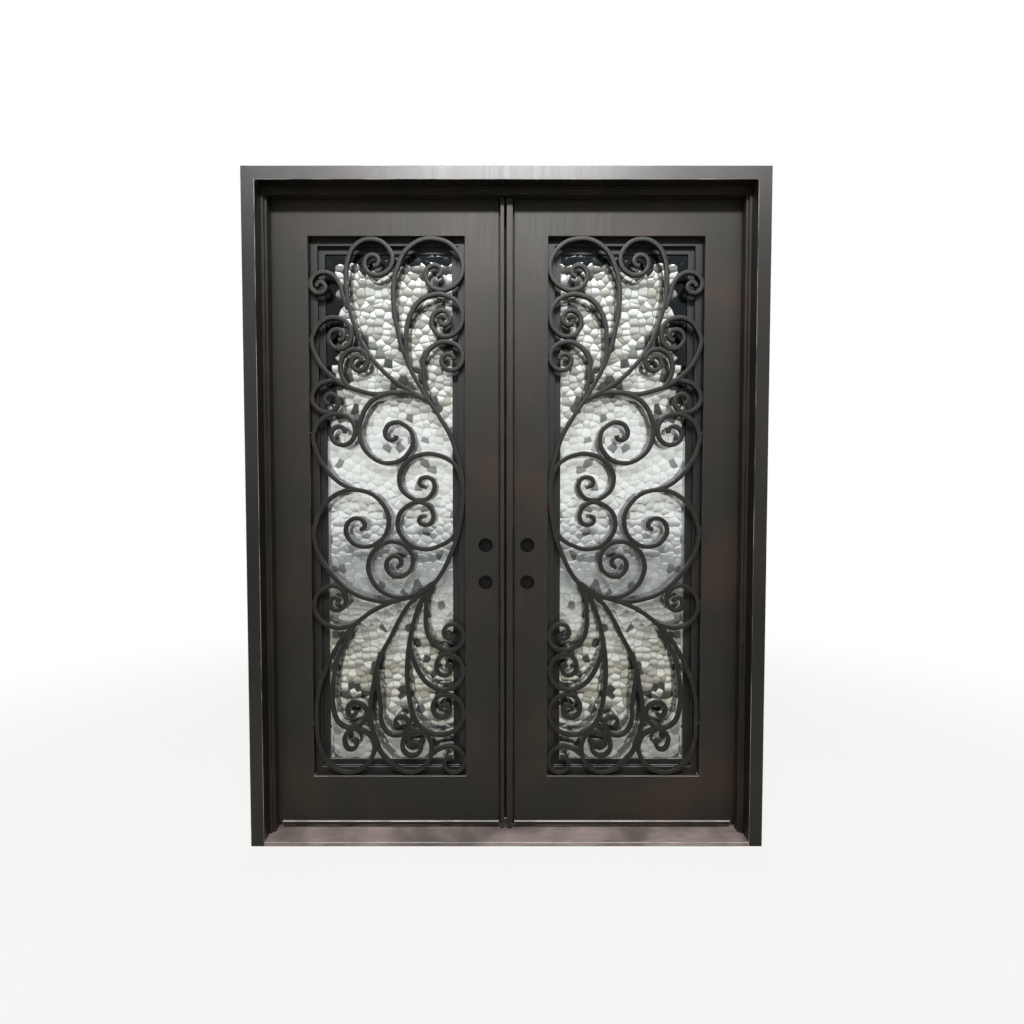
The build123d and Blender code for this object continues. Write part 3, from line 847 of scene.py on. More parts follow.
@dataclass
class Scrollwork:
    """Grille of forged scrolls in one leaf, swept along their middle lines."""

    side: Side
    finishes: FinishShelf
    bar: float = 16 * MM
    bar_depth: float = 16 * MM
    edge_round: float = 1.8 * MM
    point_spacing: float = 4.5 * MM
    hammering: float = 0.12 * MM
    lift: float = 0.25 * MM
    bead: float = 7 * MM
    hub_inset: float = 0.3 * MM
    drawing: tuple[float, float] = (580.0, 2026.0)
    bar_seed: int = 7
    bead_seed: int = 11

    def __post_init__(self) -> None:
        """Take the place of the grille from its CAD node."""
        self.low, self.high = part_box(self.side.node("scrollwork"))

    def build(self) -> None:
        """Make the bars, the hub plate and the weld beads as one piece."""
        node = self.side.node("scrollwork")
        bars = self.bars()
        beads = self.beads()
        hub = self.hub()
        piece = self.joined([bars, beads, hub], node + "_forged")
        hand_over(piece, self.side.node("leaf"), [node])

    def spot(self, point: Sequence[float]) -> Vector:
        """Lay a point of the drawing flat in metres for this leaf.

        Args:
            point: Millimetres from the lock stile and from the bottom rail.

        Returns:
            The place, with its height as Y.
        """
        across = point[0] / self.drawing[0] * (self.high.x - self.low.x)
        up = point[1] / self.drawing[1] * (self.high.z - self.low.z)
        lock_edge = self.low.x if self.side is Side.RIGHT else self.high.x
        return Vector((lock_edge + self.side.value * across, self.low.z + up, 0.0))

    def middle(self) -> float:
        """Depth of the bars' middle."""
        return (self.low.y + self.high.y) / 2

    def lines(self) -> bpy.types.Curve:
        """Draw the middle lines of all scrolls, laid flat.

        Returns:
            One curve with a line for each scroll.
        """
        data = bpy.data.curves.new(self.side.node("scroll_lines"), "CURVE")
        data.dimensions = "3D"
        for scroll in SCROLLS.values():
            spots = [self.spot(point) for point in scroll.points()]
            line = data.splines.new("POLY")
            line.points.add(len(spots) - 1)
            for target, spot in zip(line.points, spots):
                target.co = (*spot, 1.0)
        return data

    def bars(self) -> bpy.types.Object:
        """Sweep every scroll with Geometry Nodes.

        Returns:
            The bars as one plain object.
        """
        piece = show(self.lines(), self.side.node("forged_bars"))
        tree = ScrollTree().build()
        values = {
            "Bar Width": self.bar,
            "Bar Depth": self.bar_depth,
            "Edge Radius": self.edge_round,
            "Point Spacing": self.point_spacing,
            "Lift": self.lift,
            "Hammering": self.hammering,
            "Seat": self.middle(),
            "Seed": self.bar_seed,
            "Material": self.finishes.iron,
        }
        apply_tree(piece, tree, values)
        return settle(piece)

    def beads(self) -> bpy.types.Object:
        """Set weld beads where bars meet the leaf, with Geometry Nodes.

        Returns:
            The beads as one plain object.
        """
        mesh = bpy.data.meshes.new(self.side.node("bead_spots"))
        spots = [self.spot(point) for point in WELD_SPOTS]
        mesh.from_pydata([(spot.x, self.middle(), spot.y) for spot in spots], [], [])
        piece = show(mesh, self.side.node("weld_beads"))
        tree = BeadTree().build()
        values = {
            "Bead Size": self.bead,
            "Seed": self.bead_seed,
            "Material": self.finishes.iron,
        }
        apply_tree(piece, tree, values)
        return settle(piece)

    def hub(self) -> bpy.types.Object:
        """Cut the plate where the lower stems are gathered.

        Returns:
            The plate, a little thinner than the bars.
        """
        work = bmesh.new()
        front = self.middle() - self.bar_depth / 2 + self.hub_inset
        spots = [self.spot(point) for point in HUB]
        outline = [work.verts.new((spot.x, front, spot.y)) for spot in spots]
        plate = work.faces.new(outline)
        thick = bmesh.ops.extrude_face_region(work, geom=[plate])
        moved = [part for part in thick["geom"] if isinstance(part, bmesh.types.BMVert)]
        thickness = self.bar_depth - 2 * self.hub_inset
        bmesh.ops.translate(work, verts=moved, vec=(0.0, thickness, 0.0))
        bmesh.ops.recalc_face_normals(work, faces=work.faces)
        mesh = bpy.data.meshes.new(self.side.node("hub_plate"))
        work.to_mesh(mesh)
        work.free()
        mesh.materials.append(self.finishes.iron)
        return show(mesh, self.side.node("hub_plate"))

    def joined(self, parts: list[bpy.types.Object], name: str) -> bpy.types.Object:
        """One object from several plain meshes of the same finish.

        Args:
            parts: The objects; they are taken out of the scene.
            name: Name of the new object.

        Returns:
            The new object.
        """
        work = bmesh.new()
        for part in parts:
            work.from_mesh(part.data)
            bpy.data.objects.remove(part)
        mesh = bpy.data.meshes.new(name)
        work.to_mesh(mesh)
        work.free()
        mesh.materials.append(self.finishes.iron)
        return show(mesh, name)


class GeometryTree:
    """A Geometry Nodes tree with named inputs that ends in one material.

    Args:
        name: Name of the tree.
        sizes: Named number inputs with their defaults.
    """

    def __init__(self, name: str, sizes: dict[str, float]) -> None:
        """Start the tree with its inputs and output."""
        self.tree = bpy.data.node_groups.new(name, "GeometryNodeTree")
        self.board = Board(self.tree)
        ports = self.tree.interface
        ports.new_socket("Geometry", in_out="INPUT", socket_type="NodeSocketGeometry")
        ports.new_socket("Geometry", in_out="OUTPUT", socket_type="NodeSocketGeometry")
        for label, default in sizes.items():
            socket = ports.new_socket(label, in_out="INPUT", socket_type="NodeSocketFloat")
            socket.default_value = default
        ports.new_socket("Seed", in_out="INPUT", socket_type="NodeSocketInt")
        ports.new_socket("Guide", in_out="INPUT", socket_type="NodeSocketObject")
        ports.new_socket("Material", in_out="INPUT", socket_type="NodeSocketMaterial")
        self.inputs = self.board.node("NodeGroupInput").outputs

    def finish(self, geometry: bpy.types.NodeSocket) -> bpy.types.NodeTree:
        """Realize, give the material and wire the output.

        Args:
            geometry: What the tree has made.

        Returns:
            The finished tree.
        """
        real = self.board.first("GeometryNodeRealizeInstances", {0: geometry})
        feeds = {"Geometry": real, "Material": self.inputs["Material"]}
        dressed = self.board.first("GeometryNodeSetMaterial", feeds)
        self.board.node("NodeGroupOutput", {0: dressed})
        return self.tree


class ScrollTree(GeometryTree):
    """Sweeps a hammered bar with eased edges along each curve."""

    line_steps: int = 14
    edge_steps: int = 2

    def __init__(self) -> None:
        """Start the tree with the bar's sizes."""
        super().__init__("scroll_tree", {
            "Bar Width": 0.016, "Bar Depth": 0.016, "Edge Radius": 0.002,
            "Point Spacing": 0.005, "Lift": 0.0, "Hammering": 0.0, "Seat": 0.0,
        })

    def build(self) -> bpy.types.NodeTree:
        """Lay out the nodes.

        Returns:
            The finished tree.
        """
        board, ports = self.board, self.inputs
        feeds = {"Curve": ports["Geometry"]}
        lines = board.first("GeometryNodeCurveSplineType", feeds, spline_type="BEZIER")
        lines = board.first("GeometryNodeCurveSetHandles", {0: lines}, handle_type="AUTO")
        feeds = {0: lines, "Resolution": self.line_steps}
        lines = board.first("GeometryNodeSetSplineResolution", feeds)
        feeds = {"Curve": lines, "Length": ports["Point Spacing"]}
        lines = board.first("GeometryNodeResampleCurve", feeds, mode="LENGTH")
        feeds = {"Geometry": lines, "Offset": self.step()}
        lines = board.first("GeometryNodeSetPosition", feeds)
        lines = board.first("GeometryNodeSetCurveNormal", {0: lines}, mode="Z_UP")
        feeds = {"Width": ports["Bar Width"], "Height": ports["Bar Depth"]}
        profile = board.first("GeometryNodeCurvePrimitiveQuadrilateral", feeds)
        feeds = {"Curve": profile, "Radius": ports["Edge Radius"], "Count": self.edge_steps}
        profile = board.first("GeometryNodeFilletCurve", feeds, mode="POLY")
        feeds = {"Curve": lines, "Profile Curve": profile, "Fill Caps": True}
        bars = board.first("GeometryNodeCurveToMesh", feeds)
        feeds = {"Geometry": bars, "Offset": self.dents()}
        bars = board.first("GeometryNodeSetPosition", feeds)
        feeds = {"Geometry": bars, "Translation": board.point(Y=ports["Seat"]),
                 "Rotation": (math.radians(90), 0.0, 0.0)}
        return self.finish(board.first("GeometryNodeTransform", feeds))

    def step(self) -> bpy.types.NodeSocket:
        """Set each bar a little forward or back, the same all along.

        Returns:
            The way to move a point of the line.
        """
        board, ports = self.board, self.inputs
        number = board.node("GeometryNodeCurveOfPoint").outputs["Curve Index"]
        feeds = {"ID": number, "Seed": ports["Seed"]}
        pick = board.node("FunctionNodeRandomValue", feeds, data_type="FLOAT")
        centred = board.math("SUBTRACT", pick.outputs[1], 0.5)
        return board.point(Z=board.math("MULTIPLY", centred, ports["Lift"]))

    def dents(self) -> bpy.types.NodeSocket:
        """Press shallow hammer marks along the normal.

        Returns:
            The way to move a point of the bar's skin.
        """
        board, ports = self.board, self.inputs
        place = board.first("GeometryNodeInputPosition")
        wave = board.math("SUBTRACT", board.noise(place, 55.0, 1.0), 0.5)
        depth = board.math("MULTIPLY", wave, ports["Hammering"])
        return board.scaled(board.first("GeometryNodeInputNormal"), depth)


class BeadTree(GeometryTree):
    """Sets a squashed bead of weld metal on every point."""

    smallest: tuple[float, float, float] = (0.85, 0.9, 0.85)
    largest: tuple[float, float, float] = (1.15, 1.05, 1.15)

    def __init__(self) -> None:
        """Start the tree with the bead's size."""
        super().__init__("bead_tree", {"Bead Size": 0.007})

    def build(self) -> bpy.types.NodeTree:
        """Lay out the nodes.

        Returns:
            The finished tree.
        """
        board, ports = self.board, self.inputs
        feeds = {"Radius": ports["Bead Size"], "Subdivisions": 3}
        bead = board.first("GeometryNodeMeshIcoSphere", feeds)
        points = board.first("GeometryNodeMeshToPoints", {0: ports["Geometry"]})
        feeds = {0: self.smallest, 1: self.largest, "Seed": ports["Seed"]}
        size = board.first("FunctionNodeRandomValue", feeds, data_type="FLOAT_VECTOR")
        feeds = {"Points": points, "Instance": bead, "Scale": size}
        return self.finish(board.first("GeometryNodeInstanceOnPoints", feeds))


class PaneTree(GeometryTree):
    """Raises flattened, slightly tilted pebbles on a flat grid."""

    def __init__(self) -> None:
        """Start the tree with the pane's sizes."""
        super().__init__("pane_tree", {
            "Width": 0.5, "Height": 2.0, "Spacing": 0.004, "Pebble": 0.03, "Rise": 0.0015,
            # The reflection inputs place the painted reflection of the bars on the pebbles: its
            # reach, shrink and shift
            "Wander": 0.006, "Scatter": 0.85, "Selvedge": 0.03, "Ghost Reach": 0.012,
            "Ghost Scale": 0.95, "Ghost X": 0.0, "Ghost Y": 0.0, "Calm From": 0.56,
            "Calm To": 1.36, "Calm Share": 0.5,
        })

    def build(self) -> bpy.types.NodeTree:
        """Lay out the nodes.

        Returns:
            The finished tree.
        """
        board, ports = self.board, self.inputs
        counts = [board.math("ADD", board.math("DIVIDE", ports[label], ports["Spacing"]), 1.0)
                  for label in ("Width", "Height")]
        feeds = {"Size X": ports["Width"], "Size Y": ports["Height"],
                 "Vertices X": counts[0], "Vertices Y": counts[1]}
        grid = board.first("GeometryNodeMeshGrid", feeds)
        grid = self.stored(grid, "place", self.wandering(), "FLOAT_VECTOR")
        # Stores the painted reflection of the bars as a mark on each point
        grid = self.stored(grid, "ghost", self.ghost(), "FLOAT")
        feeds = {"Geometry": grid, "Offset": self.relief()}
        return self.finish(board.first("GeometryNodeSetPosition", feeds))

    def stored(self, grid: bpy.types.NodeSocket, name: str, value: bpy.types.NodeSocket,
               kind: str) -> bpy.types.NodeSocket:
        """Keep a value on every point of the grid, under a name.

        Args:
            grid: The grid.
            name: Name of the attribute.
            value: Its value at each point.
            kind: Its data type.

        Returns:
            The grid with the attribute.
        """
        feeds = {"Geometry": grid, "Name": name, "Value": value}
        return self.board.first("GeometryNodeStoreNamedAttribute", feeds, data_type=kind,
                                domain="POINT")

    def place(self) -> bpy.types.NodeSocket:
        """The stored place of each point."""
        return self.board.node("GeometryNodeInputNamedAttribute", {"Name": "place"},
                               data_type="FLOAT_VECTOR").outputs["Attribute"]

    def cells(self, feature: str = "F1") -> bpy.types.NodeOutputs:
        """Lay out the pebble pattern.

        Args:
            feature: What the pattern measures.

        Returns:
            The pattern's outputs.
        """
        board, ports = self.board, self.inputs
        scale = board.math("DIVIDE", 1.0, ports["Pebble"])
        feeds = {"Vector": self.place(), "Scale": scale, "Randomness": ports["Scatter"]}
        return board.node("ShaderNodeTexVoronoi", feeds, voronoi_dimensions="2D",
                          feature=feature).outputs

    def half(self) -> bpy.types.NodeSocket:
        """Way from the pane's lower lock-side corner to its middle."""
        corner = self.board.point(X=self.inputs["Width"], Y=self.inputs["Height"])
        return self.board.scaled(corner, 0.5)

    def ghost(self) -> bpy.types.NodeSocket:
        """Mark the pebbles that get a painted reflection of a bar.

        Returns:
            1 where a pebble gets the painted reflection of a bar, 0 where it lies clear of them.
        """
        board, ports = self.board, self.inputs
        bars = board.node("GeometryNodeObjectInfo", {"Object": ports["Guide"]}).outputs["Geometry"]
        shift = board.point(X=ports["Ghost X"], Y=ports["Ghost Y"])
        size = board.point(X=ports["Ghost Scale"], Y=ports["Ghost Scale"], Z=1.0)
        feeds = {"Geometry": bars, "Translation": shift, "Scale": size}
        bars = board.first("GeometryNodeTransform", feeds)
        bars = board.first("GeometryNodeCurveToMesh", {"Curve": bars})
        spot = board.vector("SUBTRACT", self.cells()["Position"], self.half())
        near = board.node("GeometryNodeProximity", {0: bars, 2: spot},
                          target_element="EDGES").outputs["Distance"]
        edge = board.math("ADD", ports["Ghost Reach"], 0.001)
        share = board.math("SUBTRACT", edge, near)
        return board.remap(share, 0.0, 0.002)

    def wandering(self) -> bpy.types.NodeSocket:
        """Measure from the lower lock-side corner, with a little drift.

        Returns:
            The place of each point.
        """
        board, ports = self.board, self.inputs
        place = board.first("GeometryNodeInputPosition")
        drift = board.drift(place, ports["Wander"])
        return board.vector("ADD", board.vector("ADD", place, self.half()), drift)

    def relief(self) -> bpy.types.NodeSocket:
        """Raise the pebbles, each with its own lean.

        Returns:
            The way to move a point of the grid.
        """
        board, ports = self.board, self.inputs
        scale = board.math("DIVIDE", 1.0, ports["Pebble"])
        rim = self.cells("DISTANCE_TO_EDGE")["Distance"]
        cell = self.cells()
        brim = board.remap(rim, 0.0, 0.14, 0.0, 0.3)
        round_off = board.math("MULTIPLY", cell["Distance"], cell["Distance"])
        dome = board.remap(round_off, 0.0, 0.4, 0.3, 0.0, "LINEAR")
        away = board.vector("SUBTRACT", self.place(), cell["Position"])
        lean = board.vector("SUBTRACT", cell["Color"], (0.5, 0.5, 0.5))
        tilt = board.math("MULTIPLY", board.vector("DOT_PRODUCT", away, lean), scale)
        tilt = board.remap(tilt, -0.4, 0.4, -0.4, 0.4, "LINEAR")
        level = board.math("ADD", board.math("ADD", brim, dome), tilt)
        level = board.remap(level, -0.4, 1.0, 0.0, 1.0, "LINEAR")
        axes = board.axes(self.place())
        inside = board.math("SUBTRACT", ports["Width"], axes["X"])
        inside = board.math("SUBTRACT", inside, ports["Selvedge"])
        level = board.math("MULTIPLY", level, board.remap(inside, 0.0, 0.006))
        level = board.math("MULTIPLY", level, board.math("SUBTRACT", 1.0, self.calm(axes["Y"])))
        return board.point(Z=board.math("MULTIPLY", level, ports["Rise"]))

    def calm(self, up: bpy.types.NodeSocket) -> bpy.types.NodeSocket:
        """Share of the relief that the quiet middle of the pane loses.

        Args:
            up: Height above the pane's lower edge.

        Returns:
            The share, 0 outside the middle.
        """
        board, ports = self.board, self.inputs
        edge = PebbledGlass.calm_edge
        above = board.remap(board.math("SUBTRACT", up, ports["Calm From"]), -edge, edge)
        below = board.remap(board.math("SUBTRACT", ports["Calm To"], up), -edge, edge)
        return board.math("MULTIPLY", board.math("MULTIPLY", above, below), ports["Calm Share"])


def apply_tree(piece: bpy.types.Object, tree: bpy.types.NodeTree, values: dict) -> None:
    """Put a Geometry Nodes tree on an object and set its named inputs.

    Args:
        piece: The object.
        tree: The tree.
        values: Value of each input, by name.
    """
    modifier = piece.modifiers.new(tree.name, "NODES")
    modifier.node_group = tree
    ports = tree.interface.items_tree
    keys = {port.name: port.identifier for port in ports if port.in_out == "INPUT"}
    for label, value in values.items():
        modifier[keys[label]] = value


@dataclass
class PebbledPane:
    """Sheet of pebbled glass behind one leaf's scrollwork."""

    side: Side
    finishes: FinishShelf
    spacing: float = 3.6 * MM
    rise: float = 2.1 * MM
    wander: float = 8 * MM
    pebble: float = 29 * MM
    eye: tuple[float, float] = (0.0, 1.24)
    # Painted reflection of the bars: how much their lines shrink towards the eye, and how wide the
    # darkened band reaches
    ghost_shrink: float = 0.047
    ghost_reach: float = 8 * MM
    calm_share: float = 0.55

    def build(self) -> None:
        """Make the pane within its CAD node's box."""
        node = self.side.node("glass")
        low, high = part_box(node)
        size = high - low
        piece = show(bpy.data.meshes.new(node + "_start"), node + "_pebbled")
        guide, middle = self.guide()
        values = {
            "Width": size.x,
            "Height": size.z,
            "Spacing": self.spacing,
            "Pebble": self.pebble,
            "Rise": self.rise,
            "Wander": self.wander,
            "Scatter": PebbledGlass.scatter,
            "Selvedge": PebbledGlass.selvedge,
            "Ghost Reach": self.ghost_reach,
            "Ghost Scale": 1.0 - self.ghost_shrink,
            "Ghost X": self.ghost_shrink * self.eye[0] + (self.ghost_shrink - 1.0) * middle.x,
            "Ghost Y": self.ghost_shrink * self.eye[1] + (self.ghost_shrink - 1.0) * middle.z,
            "Calm From": PebbledGlass.calm_from,
            "Calm To": PebbledGlass.calm_to,
            "Calm Share": self.calm_share,
            "Guide": guide,
            "Seed": 3,
            "Material": self.finishes.glass,
        }
        apply_tree(piece, PaneTree().build(), values)
        piece = settle(piece)
        bpy.data.objects.remove(guide)
        self.close_back(piece.data, size.y - self.rise)
        self.stand_up(piece.data, (low + high) / 2, low.y + self.rise)
        hand_over(piece, self.side.node("leaf"), [node])

    def guide(self) -> tuple[bpy.types.Object, Vector]:
        """Draw the lines whose painted reflection the glass carries.

        Returns:
            The right leaf's scroll lines, and the middle of its pane.
        """
        low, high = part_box("right_glass")
        grille = Scrollwork(Side.RIGHT, self.finishes)
        return show(grille.lines(), "scroll_guide"), (low + high) / 2

    def close_back(self, mesh: bpy.types.Mesh, thickness: float) -> None:
        """Give the pebbled face edges and a flat back.

        Args:
            mesh: The flat pane, face up.
            thickness: Glass below the pebbles' feet.
        """
        work = bmesh.new()
        work.from_mesh(mesh)
        rim = [edge for edge in work.edges if edge.is_boundary]
        walls = bmesh.ops.extrude_edge_only(work, edges=rim)
        moved = [part for part in walls["geom"] if isinstance(part, bmesh.types.BMVert)]
        # The walls and the back get no painted reflection
        ghost = work.verts.layers.float["ghost"]
        for point in moved:
            point.co.z = -thickness
            point[ghost] = 0.0
        back = [edge for edge in work.edges if edge.is_boundary]
        bmesh.ops.contextual_create(work, geom=back)
        bmesh.ops.recalc_face_normals(work, faces=work.faces)
        for face in work.faces:
            face.smooth = len(face.verts) == 4 and abs(face.normal.z) > 0.3
        work.to_mesh(mesh)
        work.free()

    def stand_up(self, mesh: bpy.types.Mesh, centre: Vector, depth: float) -> None:
        """Turn the flat pane upright, lock side towards the middle.

        Args:
            mesh: The flat pane, face up.
            centre: Middle of the pane's place.
            depth: Depth of the pebbles' feet.
        """
        upright = Matrix.Rotation(math.radians(90), 4, "X")
        mirror = Matrix.Scale(self.side.value, 4, (1.0, 0.0, 0.0))
        mesh.transform(Matrix.Translation((centre.x, depth, centre.z)) @ mirror @ upright)
        if self.side is Side.LEFT:
            mesh.flip_normals()
        mesh.update()


@dataclass
class OuterFrame:
    """Jambs, header, sill and stops that stay in the wall."""

    finishes: FinishShelf
    body: str = "frame"

    def build(self) -> None:
        """Make every piece of the frame."""
        shelf = self.finishes
        surround = ("left_jamb", "header", "right_jamb")
        stops = ("left_stop", "header_stop", "right_stop")
        self.metal("frame_surround", surround, "bronze", shelf.frame_paint, shelf.bright_edge, 1.2)
        self.metal("frame_stops", stops, "bronze", shelf.paint, shelf.edge, 0.8)
        self.metal("frame_sill", ("sill",), "sill_bronze", shelf.sill, shelf.bright_edge, 1.2)
        for side in Side:
            tabs, pins = side.node("tabs"), side.node("pintles")
            self.metal(tabs + "_pressed", (tabs,), "bronze", shelf.paint, shelf.edge, 0.6)
            self.metal(pins + "_turned", (pins,), "hinge_bronze", shelf.hinge_paint, shelf.edge, 0.6)

    def metal(self, name: str, nodes: tuple[str, ...], slot: str, face: bpy.types.Material,
              arris: bpy.types.Material, ease: float) -> None:
        """Make one piece of the frame, with its edges eased by so many millimetres."""
        Metalwork(name, nodes, self.body, slot, face, arris, ease * MM).build()


@dataclass
class SwingingLeaf:
    """One leaf with its bar, ledge, window, scrollwork, lock and hinges."""

    side: Side
    finishes: FinishShelf
    slab_nodes: tuple[str, ...] = ("hinge_stile", "lock_stile", "top_rail", "bottom_rail")

    def build(self) -> None:
        """Make every piece of the leaf."""
        shelf = self.finishes
        self.metal("slab", self.slab_nodes, "bronze", shelf.paint, shelf.edge, 2.4)
        self.metal("bar", ("meeting_bar",), "bronze", shelf.paint, shelf.edge, 1.2)
        self.metal("boot", ("bar_boot",), "rubber", shelf.rubber, shelf.rubber, 0.6)
        self.metal("ledge", ("drip_ledge",), "bronze", shelf.level_paint, shelf.bright_edge, 3.0)
        # The sash paint is a darker copy of the bronze, painted shade for its recess
        self.metal("window_sash", ("sash",), "sash_bronze", shelf.sash_paint, shelf.edge, 0.9)
        self.metal("window_bead", ("glazing_bead",), "sash_bronze", shelf.sash_paint, shelf.edge, 0.8)
        # The lock case's near-black also stands in for the shade in the bores
        self.metal("lock_body", ("lock_case",), "lock_steel", shelf.steel, shelf.steel, 0.4)
        self.metal("seal", ("meeting_seal",), "rubber", shelf.rubber, shelf.rubber, 0.5, PressedSeal)
        self.metal("barrels", ("hinge_barrels",), "hinge_bronze", shelf.hinge_paint, shelf.edge, 0.6)
        PebbledPane(self.side, shelf).build()
        Scrollwork(self.side, shelf).build()

    def metal(self, name: str, nodes: Sequence[str], slot: str, face: bpy.types.Material,
              arris: bpy.types.Material, ease: float, kind: type[Metalwork] = Metalwork) -> None:
        """Make one metalwork piece of this leaf.

        Args:
            name: Name of the piece, without its side.
            nodes: Names of its CAD nodes, without their side.
            slot: Name of its material slot; not used.
            face: Finish of its faces.
            arris: Finish of its edges.
            ease: How much its edges are eased, in millimetres.
            kind: Class that makes it.
        """
        full = tuple(self.side.node(node) for node in nodes)
        body = self.side.node("leaf")
        kind(self.side.node(name), full, body, slot, face, arris, ease * MM).build()


@dataclass
class Studio:
    """Pale floor, soft light and the camera at the photograph's place."""

    picture: float = 1024.0
    focal: float = 550.0
    sensor: float = 36.0
    stand: tuple[float, float, float] = (0.0, -2.048, 1.2386)
    pitch: float = 1.98
    vanishing: tuple[float, float] = (506.45, 527.0)
    floor_size: float = 60.0
    sky: float = 0.22

    def build(self) -> None:
        """Set up everything around the door."""
        self.camera()
        self.floor()
        self.world()
        self.lamp("key", (0.0, -3.2, 4.6), (0.0, 0.0, 1.9), (2.2, 0.35), 190.0)
        self.lamp("wide", (0.0, -3.3, 4.66), (0.0, 0.0, 1.9), (5.4, 0.35), 130.0)
        self.lamp("left_fill", (-3.6, -3.2, 1.9), (0.0, 0.0, 1.1), (2.0, 2.6), 8.0)
        self.lamp("right_fill", (3.6, -3.2, 1.9), (0.0, 0.0, 1.1), (2.0, 2.6), 8.0)
        self.lamp("back", (0.0, 3.6, 3.6), (0.0, 0.0, 1.2), (3.6, 2.6), 80.0)

    def camera(self) -> None:
        """Camera that sees the photograph's frame."""
        data = bpy.data.cameras.new("camera")
        data.sensor_width = self.sensor
        data.lens = self.focal / self.picture * self.sensor
        middle = self.picture / 2
        data.shift_x = (middle - self.vanishing[0]) / self.picture
        data.shift_y = (self.vanishing[1] - middle) / self.picture
        data.clip_end = 200.0
        camera = bpy.data.objects.new("camera", data)
        camera.location = self.stand
        camera.rotation_euler = (math.radians(90.0 - self.pitch), 0.0, 0.0)
        bpy.context.scene.collection.objects.link(camera)
        bpy.context.scene.camera = camera

    def floor(self) -> None:
        """Lay the pale floor under the door."""
        half = self.floor_size / 2
        spots = [(-half, -half, 0.0), (half, -half, 0.0), (half, half, 0.0), (-half, half, 0.0)]
        mesh = bpy.data.meshes.new("floor")
        mesh.from_pydata(spots, [], [(0, 1, 2, 3)])
        mesh.materials.append(self.floor_paint())
        show(mesh, "floor")

    def floor_paint(self) -> bpy.types.Material:
        """Pale floor that the camera sees as nearly white.

        Returns:
            The new material.
        """
        material = bpy.data.materials.new("pale_floor")
        material.use_nodes = True
        board = Board(material.node_tree)
        board.tree.nodes.clear()
        matte = board.first("ShaderNodeBsdfDiffuse", {"Color": opaque((0.55, 0.53, 0.475))})
        feeds = {"Color": opaque((1.0, 1.0, 1.0)), "Strength": 1.0}
        white = board.first("ShaderNodeEmission", feeds)
        path = board.node("ShaderNodeLightPath").outputs
        seen = board.math("MAXIMUM", path["Is Camera Ray"], path["Is Transmission Ray"])
        place = board.node("ShaderNodeTexCoord").outputs["Object"]
        away = board.node("ShaderNodeVectorMath", {0: place},
                          operation="LENGTH").outputs["Value"]
        share = board.math("MULTIPLY", seen, board.remap(away, 1.6, 4.5, 0.8, 1.0))
        surface = board.first("ShaderNodeMixShader", {0: share, 1: matte, 2: white})
        board.node("ShaderNodeOutputMaterial", {"Surface": surface})
        return material

    def seen(self, board: Board) -> bpy.types.NodeSocket:
        """Tell what is looked at: by the camera, in a reflection or through glass.

        Args:
            board: Board of the world.

        Returns:
            The share, 0 for light that only falls on things.
        """
        path = board.node("ShaderNodeLightPath").outputs
        glossy = board.math("MAXIMUM", path["Is Camera Ray"], path["Is Glossy Ray"])
        return board.math("MAXIMUM", glossy, path["Is Transmission Ray"])

    def world(self) -> None:
        """White backdrop with a softer level for the light it gives."""
        world = bpy.data.worlds.new("studio")
        world.use_nodes = True
        bpy.context.scene.world = world
        board = Board(world.node_tree)
        board.tree.nodes.clear()
        way = board.node("ShaderNodeTexCoord").outputs["Generated"]
        up = board.axes(way)["Z"]
        shade = board.remap(up, -0.05, 0.6, 0.74, 1.0)
        seen = self.seen(board)
        path = board.node("ShaderNodeLightPath").outputs
        strength = board.remap(seen, 0.0, 1.0, self.sky, 1.0, "LINEAR")
        mirrored = board.remap(path["Is Glossy Ray"], 0.0, 1.0, 1.0, shade, "LINEAR")
        strength = board.math("MULTIPLY", strength, mirrored)
        tint = board.mix(board.remap(up, 0.0, 0.7), opaque((1.0, 0.98, 0.94)),
                         opaque((0.8, 0.9, 1.0)))
        tint = board.mix(path["Is Camera Ray"], tint, opaque((1.0, 1.0, 1.0)))
        light = board.node("ShaderNodeBackground", {"Color": tint, "Strength": strength})
        board.node("ShaderNodeOutputWorld", {"Surface": light.outputs[0]})

    def lamp(self, name: str, place: Sequence[float], target: Sequence[float],
             size: Sequence[float], power: float) -> None:
        """Add a soft box.

        Args:
            name: Name of the lamp.
            place: Where it hangs.
            target: What it points at.
            size: Width and height of its face.
            power: Its power in watts.
        """
        data = bpy.data.lights.new(name, "AREA")
        data.shape = "RECTANGLE"
        data.size, data.size_y = size
        data.energy = power
        lamp = bpy.data.objects.new(name, data)
        lamp.location = place
        aim = Vector(target) - Vector(place)
        lamp.rotation_mode = "QUATERNION"
        lamp.rotation_quaternion = aim.to_track_quat("-Z", "Y")
        bpy.context.scene.collection.objects.link(lamp)


